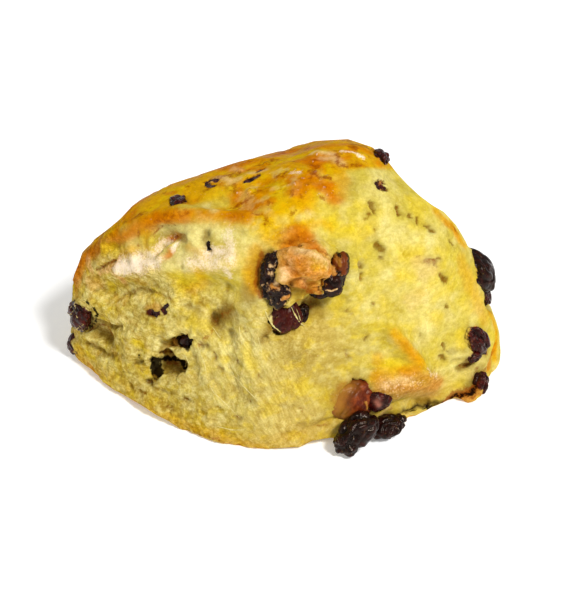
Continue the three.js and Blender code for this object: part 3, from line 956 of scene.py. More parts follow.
def mark(paint, amount):
    """Adds a mark, where it is stronger than what is there."""
    column = MARKS[paint]
    marks[:, column] = np.maximum(marks[:, column], amount)


mark(BROWN, crust * (0.25 + 0.40 * clouds(2.6, 48, 0.10, 0.60)))
# Brown in the small holes, the holes, the cracks and the slits: painted shade.
mark(BROWN, 0.45 * small_holes * bare)
mark(BROWN, 0.35 * holes * torn + 0.35 * crack * torn)
mark(BROWN, 0.54 * pitted)
mark(BROWN, underside * (0.3 + 0.4 * clouds(3.5, 51, 0.0, 0.6)))
mark(BROWN, torn * 0.50 * pits(stirred(points, 1.0, 0.5, 35), 2.6, 0.55, 0.25, 36))

# ---- Dough: strokes --------------------------------------------------------------------------

# Strokes of colour: a line over the picture, its width, the paint and how much of it.
STROKES = [
    ("browned lip", [(74, 276), (88, 254), (140, 226), (184, 214)], 1.7, ORANGE, 0.84),
    ("golden lip", [(184, 214), (215, 216), (246, 218)], 1.5, ORANGE, 0.45),
    ("darkest lip", [(150, 228), (158, 220), (180, 213)], 1.6, BROWN, 0.50),
    ("lip by the chin", [(232, 216), (252, 212)], 1.4, ORANGE, 0.7),
    ("left corner", [(76, 286), (80, 262), (96, 243)], 1.2, ORANGE, 0.6),
    ("edge of the outline", [(100, 240), (126, 214), (150, 196)], 1.0, BROWN, 0.35),
    ("brown behind the corner", [(112, 236), (124, 226)], 1.3, BROWN, 0.42),
    ("yellow under the lip", [(104, 250), (112, 246), (118, 254)], 1.4, YELLOW, 0.7),
    ("gold under the lip", [(122, 256), (134, 250)], 1.2, GOLD, 0.7),
    ("brown by the fold", [(140, 232), (139, 246), (142, 256)], 0.7, BROWN, 0.62),
    ("gold by the fold", [(146, 234), (148, 250)], 1.1, GOLD, 0.6),
    ("line under the lip", [(153, 238), (154, 232), (160, 228), (176, 225)], 0.5, BROWN, 0.7),
    ("pale under the lip", [(166, 230), (190, 229), (206, 230), (228, 234)], 1.3, PALE, 0.75),
    ("flour in the crater", [(158, 250), (162, 244), (170, 243)], 1.5, FLOUR_AND_HIGHLIGHT, 0.75),
    # Painted shade in the crater and along its upper edge.
    ("shade in the crater", [(158, 254), (164, 254), (170, 248)], 0.5, OLIVE, 0.8),
    ("grey over the crater", [(160, 234), (172, 233)], 1.0, OLIVE, 0.4),
    ("orange in the crater's wall", [(170, 239), (178, 237), (186, 239)], 0.8, ORANGE, 0.95),
    ("brown in the crater's wall", [(168, 240), (176, 237), (186, 235)], 0.5, BROWN, 0.75),
    ("curl's flake", [(164, 258), (169, 255), (174, 250)], 0.6, ORANGE, 0.95),
    # A painted highlight on the curl's edge.
    ("curl's edge", [(174, 249), (177, 244), (177, 241)], 0.6, FLOUR_AND_HIGHLIGHT, 1.05),
    ("bump right of the crater", [(186, 238), (194, 238), (198, 246)], 1.6, PALE, 0.8),
    ("shade of the bump", [(188, 247), (197, 253), (204, 255)], 0.8, GOLD, 0.6),
    # Painted shade in the crease right of the bump and round the pit.
    ("crease right of the bump", [(203, 232), (206, 244), (206, 253)], 0.5, PAINTED_SHADE, 0.8),
    ("grey round the pit", [(208, 236), (212, 246)], 1.1, OLIVE, 0.65),
    ("pit by the crater", [(208, 242), (209, 246)], 0.35, SOOT_AND_SHADE, 0.7),
    ("mark on the ledge", [(189, 259), (193, 258)], 0.4, BROWN, 0.6),
    ("valley", [(186, 206), (205, 206), (222, 203)], 1.5, CRUMB, 0.80),
    ("valley's yellow", [(210, 196), (228, 190)], 1.8, YELLOW, 0.5),
    ("pale in the valley", [(206, 206), (214, 210)], 0.9, PALE, 0.6),
    ("yellow lines over the clod", [(256, 212), (268, 206)], 0.8, CRUMB, 0.5),
    ("second yellow line", [(278, 222), (286, 220)], 0.8, PALE, 0.6),
    ("brown edge at the top", [(225, 168), (300, 149), (345, 144), (384, 156)], 1.1, ORANGE, 0.65),
    ("rim above the sheen", [(345, 141), (360, 145), (372, 150)], 0.9, BROWN, 0.50),
    ("blister", [(296, 190), (303, 184), (312, 177)], 1.8, ORANGE, 0.8),
    ("blister's brown", [(312, 174), (320, 176), (330, 178)], 0.8, BROWN, 0.80),
    ("blister's right", [(322, 186), (332, 188), (334, 196)], 1.8, ORANGE, 1.0),
    ("under the blister", [(320, 196), (324, 200)], 0.6, BROWN, 0.7),
    ("left of the blister", [(292, 192), (294, 196)], 0.6, BROWN, 0.6),
    ("gold right of the blister", [(338, 166), (344, 178), (340, 190)], 1.4, GOLD, 0.8),
    ("spot above the blister", [(310, 160), (318, 160), (316, 166)], 1.4, ORANGE, 1.0),
    ("its heart", [(308, 164), (318, 163)], 0.9, BROWN, 0.50),
    ("brown patch", [(248, 198), (258, 192), (266, 189)], 1.4, BROWN, 0.56),
    ("orange round the patch", [(238, 200), (254, 197), (266, 190)], 1.8, ORANGE, 0.4),
    ("orange under the patch", [(238, 212), (246, 210)], 1.6, ORANGE, 0.5),
    ("brown streak", [(262, 165), (268, 163)], 0.8, BROWN, 0.62),
    ("brown line", [(270, 162), (282, 161)], 0.5, BROWN, 0.55),
    ("streaks over the patch", [(262, 184), (280, 178), (294, 176)], 0.8, ORANGE, 0.6),
    # A painted highlight on the crust by the streaks.
    ("light spot by the streaks", [(293, 172), (300, 172)], 0.45, FLOUR_AND_HIGHLIGHT, 0.75),
    ("pink at the outline", [(234, 168), (240, 170)], 0.8, BLUSH, 0.7),
    ("cream by the second raisin", [(214, 178), (222, 177), (230, 181), (240, 178)], 0.9, CREAM_AND_SHEEN, 0.6),
    ("cream by the third raisin", [(252, 173), (264, 170)], 0.7, CREAM_AND_SHEEN, 0.6),
    ("spot over the clod", [(288, 246), (298, 234), (312, 244)], 1.9, ORANGE, 0.95),
    ("spot's foot", [(314, 246), (324, 252)], 0.9, ORANGE, 0.8),
    ("spot's middle", [(292, 242), (297, 238), (300, 246)], 1.2, BROWN, 0.60),
    ("gold beside the spot", [(272, 236), (280, 240), (274, 228)], 1.8, GOLD, 0.5),
    ("clod", [(288, 254), (303, 262), (328, 272)], 3.0, TAN, 1.0),
    ("clod's foot, tan", [(294, 284), (308, 288), (324, 290)], 1.5, TAN, 1.0),
    ("clod's foot, orange", [(300, 284), (314, 288)], 0.9, ORANGE, 0.5),
    ("clod's left side", [(284, 262), (290, 276), (284, 288)], 1.8, TAN, 0.9),
    ("clod's orange", [(293, 258), (300, 265), (296, 274)], 1.3, ORANGE, 0.55),
    ("clod's second orange", [(312, 268), (324, 268), (332, 272)], 1.1, ORANGE, 0.55),
    ("clod's third orange", [(300, 276), (308, 274), (318, 280)], 0.8, ORANGE, 0.6),
    ("clod's flour", [(296, 251), (308, 251), (320, 257), (328, 265)], 0.8, CREAM_AND_SHEEN, 0.85),
    ("clod's pale left", [(291, 262), (294, 270)], 0.6, BLUSH, 0.6),
    ("clod's pale foot", [(303, 279), (306, 286)], 0.7, BLUSH, 0.7),
    ("clod's yellow", [(316, 264), (326, 266)], 1.0, YELLOW, 0.4),
    ("cream by the left raisin", [(285, 270), (284, 277)], 1.0, CREAM_AND_SHEEN, 1.0),
    ("tan under the cream", [(280, 284), (272, 287)], 1.1, TAN, 0.9),
    ("clod's brown middle", [(300, 268), (304, 276), (316, 274)], 0.6, BROWN, 0.52),
    ("clod's upper edge", [(286, 247), (302, 246), (318, 249), (328, 256), (334, 262)], 0.6, BROWN, 0.62),
    ("clod's foot", [(304, 287), (312, 292), (326, 294)], 0.8, BROWN, 0.75),
    # Painted shade in the clod's crease.
    ("clod's crease", [(272, 296), (282, 292), (292, 285)], 0.8, BURNT_AND_SHADE, 0.80),
    ("clod's right rim", [(334, 262), (342, 268), (343, 280)], 0.8, BROWN, 0.75),
    ("brown left of the left raisin", [(262, 254), (258, 268), (256, 284), (260, 298)], 1.0, BROWN, 0.80),
    ("orange left of it", [(260, 258), (255, 272), (254, 290)], 1.3, ORANGE, 0.7),
    ("gold left of it", [(256, 252), (250, 272), (250, 294)], 1.5, GOLD, 0.75),
    ("grey left of it", [(246, 292), (248, 300)], 1.4, OLIVE, 0.5),
    ("chin", [(280, 300), (288, 295)], 1.0, GOLD, 0.8),
    # Painted shade under the clod and right of the under raisins.
    ("shade under the clod", [(294, 290), (302, 290), (308, 292)], 1.0, PAINTED_SHADE, 0.9),
    ("olive under the clod", [(300, 298), (304, 306)], 1.6, PAINTED_SHADE, 0.45),
    ("brown right of the under raisins", [(318, 302), (320, 312)], 1.2, PAINTED_SHADE, 0.6),
    # Painted sheen along the top of the crust.
    ("sheen", [(312, 153), (322, 152), (334, 154)], 0.6, CREAM_AND_SHEEN, 0.8),
    ("sheen's line", [(342, 151), (352, 152), (358, 155), (363, 159)], 0.45, FLOUR_AND_HIGHLIGHT, 1.1),
    ("lesser sheen", [(322, 159), (334, 158), (342, 163)], 0.9, CREAM_AND_SHEEN, 0.55),
    # Flour on the ledge, whose white is partly painted sheen.
    ("flour on the ledge", [(120, 268), (130, 266), (140, 264)], 2.0, FLOUR_AND_HIGHLIGHT, 1.0),
    ("soft flour on the ledge", [(118, 268), (136, 266), (158, 262)], 2.0, SOFT_FLOUR_AND_SHEEN, 0.8),
    ("more flour", [(142, 262), (152, 262), (158, 263)], 1.4, FLOUR_AND_HIGHLIGHT, 0.8),
    ("flour over the ledge", [(148, 253), (152, 257)], 0.9, FLOUR_AND_HIGHLIGHT, 0.75),
    ("soft flour at the right", [(184, 264), (206, 260), (228, 256)], 2.4, SOFT_FLOUR_AND_SHEEN, 0.70),
    ("flour at the right", [(206, 256), (214, 251), (222, 253)], 1.3, FLOUR_AND_HIGHLIGHT, 0.85),
    ("flour at the right, lower", [(190, 262), (200, 264), (216, 264)], 1.5, FLOUR_AND_HIGHLIGHT, 0.62),
    ("flour up the side", [(228, 232), (230, 246), (230, 260)], 1.3, FLOUR_AND_HIGHLIGHT, 0.66),
    ("flour down the side", [(226, 268), (230, 276)], 0.8, FLOUR_AND_HIGHLIGHT, 0.75),
    ("flour between", [(166, 268), (184, 268)], 1.0, PALE, 0.8),
    ("pale over the ledge", [(178, 252), (186, 256)], 1.2, PALE, 0.7),
    ("flour at the left corner", [(88, 260), (90, 270)], 0.8, BLUSH, 0.6),
    ("flour under the crease", [(100, 272), (110, 268), (118, 262)], 0.7, BLUSH, 0.8),
    ("flour below the ledge", [(116, 276), (124, 281)], 0.8, BLUSH, 0.7),
    # Painted shade in the crease at the ledge's end.
    ("crease at the ledge's end", [(97, 269), (104, 265), (110, 264), (116, 260)], 0.55, BROWN, 0.85),
    ("dots by the ledge", [(112, 272), (114, 278)], 0.4, BROWN, 0.6),
    ("tan under the ledge", [(90, 284), (98, 282)], 1.4, TAN, 0.5),
    ("pale under the ledge", [(162, 280), (168, 290)], 1.7, PALE, 0.6),
    ("yellow under the ledge", [(176, 276), (188, 282), (202, 276)], 1.8, YELLOW, 0.8),
    ("gold under the ledge", [(200, 272), (204, 282), (192, 290)], 1.2, GOLD, 0.5),
    ("second yellow", [(110, 284), (114, 288)], 1.0, YELLOW, 0.8),
    ("brown by the ledge's foot", [(218, 278), (228, 280)], 0.7, BROWN, 0.5),
    # Painted shade along the crease in the left crumb.
    ("crease", [(124, 295), (132, 292), (142, 288), (156, 292), (172, 299)], 0.5, BROWN, 0.56),
    ("tan by the small raisins", [(148, 307), (158, 306)], 0.8, TAN, 0.6),
    ("grey round the small raisins", [(142, 308), (144, 318)], 1.3, OLIVE, 0.5),
    # Painted shade in the crease by the left raisin and at its end.
    ("crease by the left raisin", [(88, 330), (98, 324), (106, 326), (112, 333)], 0.5, BROWN, 0.8),
    ("crease's end", [(112, 325), (119, 327)], 0.5, BURNT_AND_SHADE, 0.6),
    ("dark marks by the left raisin", [(93, 308), (99, 314), (96, 322), (90, 326)], 0.6, SOOT_AND_SHADE, 0.85),
    ("dark marks over the left raisin", [(72, 302), (80, 299), (88, 303)], 0.5, SOOT_AND_SHADE, 0.8),
    # Painted shade in the hollow by the left raisin and in the left crumb.
    ("hollow by the left raisin", [(100, 330), (108, 332), (113, 338)], 1.2, PAINTED_SHADE, 0.7),
    ("hollow in the left crumb", [(88, 345), (96, 344), (104, 352), (112, 357)], 0.9, PAINTED_SHADE, 0.6),
    ("bright crumb", [(190, 322), (200, 326), (210, 328)], 1.3, YELLOW, 0.7),
    ("second bright crumb", [(136, 343), (142, 344)], 1.1, YELLOW, 0.9),
    ("pale by it", [(152, 346), (162, 347)], 1.3, PALE, 0.6),
    ("dark marks above the cave", [(138, 351), (139, 357)], 0.45, SOOT_AND_SHADE, 0.9),
    ("more dark marks", [(134, 362), (142, 362)], 0.5, BURNT_AND_SHADE, 0.66),
    # Painted shade in the hollow left of the hole.
    ("hollow left of the hole", [(166, 346), (174, 341), (186, 336)], 1.3, PAINTED_SHADE, 0.75),
    ("pale bridge", [(164, 352), (174, 351), (184, 349)], 0.7, PALE, 0.6),
    # Painted shade in the hole and in the cave: black at its roof and left arm, darker and browner within.
    ("hole", [(184, 340), (188, 348)], 0.9, SOOT_AND_SHADE, 0.9),
    ("cave's roof", [(152, 359), (168, 358), (182, 361), (184, 368)], 0.9, SOOT_AND_SHADE, 0.9),
    ("cave's left arm", [(155, 360), (157, 368), (158, 374)], 1.3, SOOT_AND_SHADE, 1.1),
    ("cave's floor", [(168, 370), (176, 370)], 1.2, PAINTED_SHADE, 0.7),
    ("brown in the cave", [(168, 363), (178, 364)], 0.8, BROWN, 0.8),
    ("dark under the cave", [(148, 381), (152, 382)], 0.6, BURNT_AND_SHADE, 0.9),
    ("brown crumbs right of the hole", [(200, 345), (205, 340), (213, 332)], 0.8, BROWN, 0.62),
    # Painted shade in the dimple and in the pockets, browner at the pocket's heart.
    ("tan dimple", [(188, 304), (196, 309), (201, 304)], 0.8, PAINTED_SHADE, 0.55),
    ("pocket", [(216, 320), (222, 314), (230, 309)], 1.3, PAINTED_SHADE, 0.9),
    ("pocket's heart", [(217, 319), (222, 314), (229, 310)], 1.0, BROWN, 0.58),
    ("round the pocket", [(216, 322), (228, 311)], 2.0, PAINTED_SHADE, 0.75),
    ("long pocket", [(261, 342), (266, 334), (270, 328)], 0.9, PAINTED_SHADE, 0.85),
    ("grey crumb", [(226, 330), (246, 318), (250, 304)], 2.0, OLIVE, 0.35),
    ("glassy bump", [(290, 350), (298, 356)], 1.6, OLIVE, 0.25),
    ("pale above the fibres", [(236, 346), (246, 352), (256, 350)], 1.2, PALE, 0.8),
    ("yellow in the fibres", [(246, 352), (252, 366)], 1.3, YELLOW, 0.6),
    ("yellow over the foot", [(286, 386), (318, 392), (330, 402)], 1.6, YELLOW, 0.35),
    # Painted shade in the grooves over the foot.
    ("slanting groove", [(286, 436), (308, 429), (330, 421), (346, 415)], 0.6, BROWN, 0.50),
    ("groove over the foot", [(298, 409), (312, 415)], 0.5, BROWN, 0.5),
    ("orange streak", [(396, 335), (404, 344), (414, 356), (420, 362)], 1.5, GOLD, 0.9),
    ("orange streak's heart", [(404, 345), (410, 352), (417, 361)], 0.8, ORANGE, 0.35),
    ("orange by the brown raisins", [(378, 358), (381, 366), (377, 376)], 1.1, GOLD, 0.6),
    ("gold between", [(390, 364), (404, 368)], 1.5, YELLOW, 0.8),
    ("orange streak's foot", [(376, 378), (386, 374), (404, 371), (416, 368)], 1.1, GOLD, 0.75),
    ("orange over the bulge", [(406, 373), (418, 374), (432, 380), (438, 384)], 1.3, ORANGE, 0.55),
    ("floury bulge", [(384, 390), (410, 390), (432, 390)], 2.4, TAN, 0.95),
    ("shade of the floury bulge", [(392, 396), (410, 396), (432, 394)], 1.6, OLIVE, 0.45),
    ("flour on the bulge", [(383, 386), (396, 381), (412, 380)], 0.9, CREAM_AND_SHEEN, 0.50),
    ("flour dots on the bulge", [(384, 386), (400, 386), (420, 384)], 1.8, FLOUR_AND_HIGHLIGHT, 0.22),
    ("flour specks", [(428, 369), (432, 374), (437, 376)], 0.6, FLOUR_AND_HIGHLIGHT, 0.52),
    ("shade on the bulge", [(404, 394), (414, 391)], 0.6, BROWN, 0.5),
    # Painted shade in the pit in the bulge's foot and in the hollow by the right foot.
    ("pit in the bulge's foot", [(416, 402), (428, 400)], 0.8, PAINTED_SHADE, 0.9),
    ("hollow by the right foot", [(458, 368), (464, 365), (470, 364)], 0.7, PAINTED_SHADE, 0.8),
    ("foot at the left", [(72, 350), (84, 366), (108, 388)], 1.0, BROWN, 0.52),
    ("foot's gold", [(74, 354), (106, 388), (165, 418), (230, 441), (268, 449)], 1.1, GOLD, 0.40),
    ("foot's orange", [(84, 368), (106, 388), (136, 402)], 0.6, ORANGE, 0.6),
    ("foot's lowest edge", [(110, 392), (165, 424), (200, 434), (262, 451), (320, 448)], 0.5, BROWN, 0.66),
    ("scorched edge", [(402, 411), (424, 407), (440, 402), (452, 398), (466, 394)], 0.55, BURNT_AND_SHADE, 1.0),
    ("soot on the edge", [(402, 413), (424, 409), (440, 403), (456, 399), (464, 396)], 0.45, SOOT_AND_SHADE, 0.85),
    ("scorched foot", [(446, 400), (456, 395), (468, 391), (480, 386)], 1.2, BROWN, 0.95),
    ("crumbly foot", [(462, 397), (472, 393), (480, 389)], 1.1, ORANGE, 0.6),
    ("soot on the foot", [(452, 398), (462, 395), (474, 391), (484, 384)], 0.9, SOOT_AND_SHADE, 0.70),
    ("foot's crumbs", [(464, 400), (472, 399), (480, 394)], 1.0, TAN, 0.9),
    ("foot's brown crumbs", [(466, 399), (474, 397), (481, 391)], 0.9, BROWN, 0.62),
    ("burnt foot", [(472, 388), (480, 380)], 1.3, BURNT_AND_SHADE, 0.7),
    ("gold on the right rim", [(436, 212), (452, 226), (464, 244)], 1.2, GOLD, 0.9),
    ("orange on the right rim", [(446, 222), (452, 228), (457, 234)], 0.9, ORANGE, 0.45),
    ("brown on the right rim", [(452, 226), (457, 233)], 0.6, BROWN, 0.6),
    ("gold band on the right", [(462, 262), (466, 274), (476, 296), (484, 318)], 2.0, GOLD, 0.55),
    ("right rim, lower", [(490, 312), (497, 330), (494, 358)], 0.9, GOLD, 0.9),
    ("right rim, lowest", [(494, 345), (488, 368), (482, 378)], 0.8, ORANGE, 0.7),
    ("brown low rim", [(492, 352), (484, 372)], 0.7, BROWN, 0.6),
    ("yellow by the edge raisin", [(460, 334), (462, 346)], 1.4, YELLOW, 0.7),
    ("yellow on the flank", [(402, 254), (414, 254), (420, 250)], 1.4, YELLOW, 0.6),
    ("yellow under it", [(400, 274), (412, 275)], 1.4, YELLOW, 0.6),
    ("second yellow on the flank", [(330, 224), (346, 232), (366, 232)], 1.8, YELLOW, 0.7),
    ("third yellow on the flank", [(434, 316), (440, 318)], 1.3, YELLOW, 0.5),
    ("tan on the flank", [(418, 262), (432, 268), (424, 274)], 1.6, CREAM_AND_SHEEN, 0.35),
    ("second tan on the flank", [(408, 298), (422, 294), (412, 304)], 1.6, CREAM_AND_SHEEN, 0.30),
    ("yellow below the crust", [(270, 226), (282, 214), (316, 214)], 2.2, YELLOW, 0.45),
    ("gold below the crust", [(284, 206), (296, 204), (308, 210)], 0.9, GOLD, 0.65),
    ("second gold below the crust", [(266, 216), (280, 212)], 0.8, GOLD, 0.6),
    ("third gold below the crust", [(310, 226), (320, 222), (332, 226)], 0.7, GOLD, 0.5),
    ("pale below the crust", [(300, 218), (312, 214)], 0.8, PALE, 0.5),
    ("grey on the flank", [(346, 196), (352, 184)], 1.8, OLIVE, 0.25),
    # Painted shade in the groove by the right pit.
    ("groove by the right pit", [(448, 352), (456, 350), (466, 350)], 0.6, OLIVE, 0.5),
    ("round the brown raisins", [(352, 381), (341, 388), (336, 400), (338, 414)], 0.9, AMBER, 0.8),
    ("brown between the brown raisins", [(366, 386), (370, 396), (366, 414)], 1.0, AMBER, 0.7),
    ("cream round the small one", [(386, 398), (388, 408), (380, 416)], 0.7, CREAM_AND_SHEEN, 0.5),
]

ragged = stirred(stirred(points, 2.4, 0.55, 39), 0.9, 0.30, 52)
for _, pixels, width, paint, amount in STROKES:
    stroke = near(ragged, pixels, width, dough_tree)
    if paint in MARKS:
        mark(paint, amount * stroke)
    else:
        tint(paint, amount * (0.7 * stroke + 0.3 * smoothstep(stroke, 0.20, 0.60)))

# The clod, the scorched bit and the blisters.
mark(BROWN, 0.55 * clod * smoothstep(cracks(points, 1.8, 28, 0.2) + 0.4 * grit, 0.4, 0.9))
# Painted highlights on the clod's crests, and painted shade, in orange, in its hollows.
tint(BLUSH, 0.35 * clod * crest)
tint(ORANGE, 0.45 * clod * hollow)
# Black in the scorched bit's hollows, partly burnt and partly painted shade.
mark(SOOT_AND_SHADE, 0.5 * scorched * hollow)
mark(BROWN, 0.64 * blistered)
# A painted highlight on each bubble of the blisters.
for x, y, radius in BUBBLES:
    mark(FLOUR_AND_HIGHLIGHT, 0.74 * near(points, [(x - 1, y - 1)], 0.35 * radius, dough_tree))

# Painted shade where the dough is shut in and where it touches a raisin, and brown over the slits of the
# covered ones.
tint(BROWN, deep * (0.30 + 0.35 * torn))
tint(BURNT_AND_SHADE, smoothstep(deep, 0.75, 1.0) * 0.55)
contact = distance_to(raisin_tree, before_folding, RAISIN_REACH)
mark(BROWN, 0.55 * np.exp(-((contact / 0.45) ** 2)))
tint(PAINTED_SHADE, 0.35 * np.exp(-((contact / 0.9) ** 2)))
mark(BROWN, 0.9 * slit ** 0.5 * (slit > 0.05))

FLOURY_BULGE = [(384, 386), (410, 386), (434, 382)]
bulge = near(points, FLOURY_BULGE, 2.2, dough_tree)
glaze = np.clip(crust * 0.9 + 0.25 * (1 - torn), 0, 1)
store(
    dough_mesh,
    paint=colour,
    glaze=glaze * (1 - hollow * 0.5),
    crumb=np.clip(torn * (1 - 0.4 * stretch) + clod + bulge, 0, 1),
    marks=marks,
    weave=points * LEVEL,
    drawn=drawn,
    stretch=0.75 * stretch,
)

# ---- Materials -------------------------------------------------------------------------------


def dough_material():
    """Paint mottled by noise, more in the crumb, under ragged marks of flour, brown and soot, which also
    paint highlights and shade.
    """
    shader = Shader("dough")
    place = shader.place()
    crumb = shader.stored("crumb")
    fine = shader.noise(place, 0.35 * MM, 4, 0.6)
    plain = shader.noise(shader.stored("weave", "Vector"), 0.9, 6, 0.65)
    fibred = shader.noise(shader.stored("drawn", "Vector"), 0.7, 5, 0.6)
    woven = shader.blend(shader.stored("stretch"), plain, fibred)

    def mottled(base, pattern, least, dark, light):
        """The base times a dark or a light colour by a pattern, and least so where there is no crumb."""
        darker = shader.mixed(1.0, base, dark, "MULTIPLY")
        lighter = shader.mixed(1.0, base, light, "MULTIPLY")
        speckled = shader.mixed(shader.ramp(pattern, 0.40, 0.60), darker, lighter)
        return shader.mixed(shader.ramp(crumb, 0, 1, least, 1.0), base, speckled)

    toned = mottled(shader.stored("paint", "Color"), woven, 0.45, (0.74, 0.66, 0.46), (1.16, 1.18, 1.26))
    toned = mottled(toned, fine, 0.40, (0.87, 0.84, 0.72), (1.08, 1.10, 1.22))
    marks = shader.node("SeparateColor", {"Color": shader.stored("marks", "Color")})
    ragged = shader.noise(place, 0.9 * MM, 6, 0.72)
    edge = shader.ramp(ragged, 0.25, 0.75, -0.40, 0.40)
    ragged_grains = shader.ramp(ragged, 0.25, 0.75, -0.25, 0.25)
    grains = shader.math("ADD", ragged_grains, shader.ramp(fine, 0.30, 0.70, -0.30, 0.30))
    for channel, paint, unevenness, low, high, strength in (
        ("Green", FLOUR_AND_HIGHLIGHT, grains, 0.25, 1.0, 0.9),
        ("Red", BROWN, edge, 0.40, 0.75, 0.75),
        ("Blue", SOOT_AND_SHADE, edge, 0.42, 0.66, 0.97),
    ):
        total = shader.math("ADD", marks.outputs[channel], unevenness)
        toned = shader.mixed(shader.ramp(total, low, high, 0.0, strength), toned, linear(paint))
    rugged = shader.math("MULTIPLY", woven, shader.ramp(crumb, 0, 1, 0.40, 1.0))
    shader.bump(shader.math("MULTIPLY_ADD", fine, 0.25, rugged), 0.6, 0.35)
    shader.surface({
        "Base Color": toned,
        "Roughness": shader.ramp(shader.stored("glaze"), 0, 1, 0.75, 0.38),
        "Subsurface Weight": 0.12,
        "Subsurface Radius": (1.0, 0.6, 0.15),
        "Subsurface Scale": 0.9 * MM,
        "Specular IOR Level": 0.5,
        "Specular Tint": (1.0, 0.66, 0.20),
        "IOR": 1.035,
    })
    return shader.material


def raisin_material(name, skin_paint, flesh_paint, roughness):
    """Wrinkled fruit skin, with painted shade in its folds and redder in mottled patches, under ragged films
    of dough.
    """
    shader = Shader(name)
    place = shader.place()
    skin_colour = linear(skin_paint)
    mottling = shader.noise(place, 1.1 * MM, 4, 0.6)
    fine = shader.noise(place, 0.45 * MM, 4, 0.65)
    skin = shader.mixed(shader.ramp(mottling, 0.45, 0.70), skin_colour, linear(flesh_paint))
    skin = shader.mixed(shader.stored("lit"), skin, shader.stored("lit_paint", "Color"))
    # Painted shade in the folds.
    folded = shader.mixed(shader.stored("fold"), skin, 0.25 * skin_colour)
    ragged = shader.ramp(shader.noise(place, 0.7 * MM, 6, 0.75), 0.25, 0.75, -0.50, 0.50)
    total = shader.math("ADD", shader.stored("film"), ragged)
    film = shader.ramp(total, 0.35, 1.0)
    paint = shader.stored("film_paint", "Color")
    stain = shader.mixed(0.55, paint, linear(BROWN))
    below = shader.mixed(shader.ramp(total, 0.22, 0.60), folded, stain)
    bare = shader.ramp(mottling, 0.35, 0.7, roughness - 0.06, roughness + 0.12)
    shader.bump(fine, 0.35, 0.2)
    shader.surface({
        "Base Color": shader.mixed(film, below, paint),
        "Roughness": shader.math("MULTIPLY_ADD", film, 0.35, bare),
        "IOR": 1.3,
        "Specular Tint": (1.0, 0.80, 0.66),
    })
    return shader.material


DOUGH = dough_material()
DARK_SKIN = raisin_material("raisin", (16, 5, 4), (46, 10, 6), 0.20)
RED_SKIN = raisin_material("raisin_red", (36, 6, 5), (78, 14, 8), 0.24)
BROWN_SKIN = raisin_material("raisin_brown", (88, 26, 6), (136, 58, 18), 0.32)


def piece(name, mesh, slot, *nodes):
    """Links a mesh as a piece of the scone that stands for these CAD nodes."""
    obj = linked(name, mesh)
    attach(obj, "root")
    if nodes:
        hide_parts(*nodes)


piece("scone_dough", finished(dough_mesh, DOUGH), "dough", "dough")

# ---- Raisins: shape --------------------------------------------------------------------------

SWELL = 0.32  # the fruit fills the gap that the solids leave round it
WELD_REACH = 0.005
FLOOR_GAP = 0.05
RING_WIDTH = 1.5  # of the dough round a raisin that tells how far it stands out
RING_PERCENTILE = 60
COVER, COVER_OF_CREASES = 0.12, 0.16


@dataclass
class Fit:
    """How a raisin differs from a plain dark one that lies as its solid does."""

    skin: bpy.types.Material = DARK_SKIN
    smooth: bool = False
    grown: object = 1  # by one factor, or by one for each axis
    shifted: tuple = (0, 0, 0)
    leant: float = 0  # to the left, for each mm of height
    bent: tuple = None  # how far its lower end curls aside
    kept: float = None  # the share of what stands out of the dough, where the rest is pressed in
    sunk: float = 0
    specks: tuple = (TORN, 0.0)  # dough or crust over it: the paint, and the share that it covers


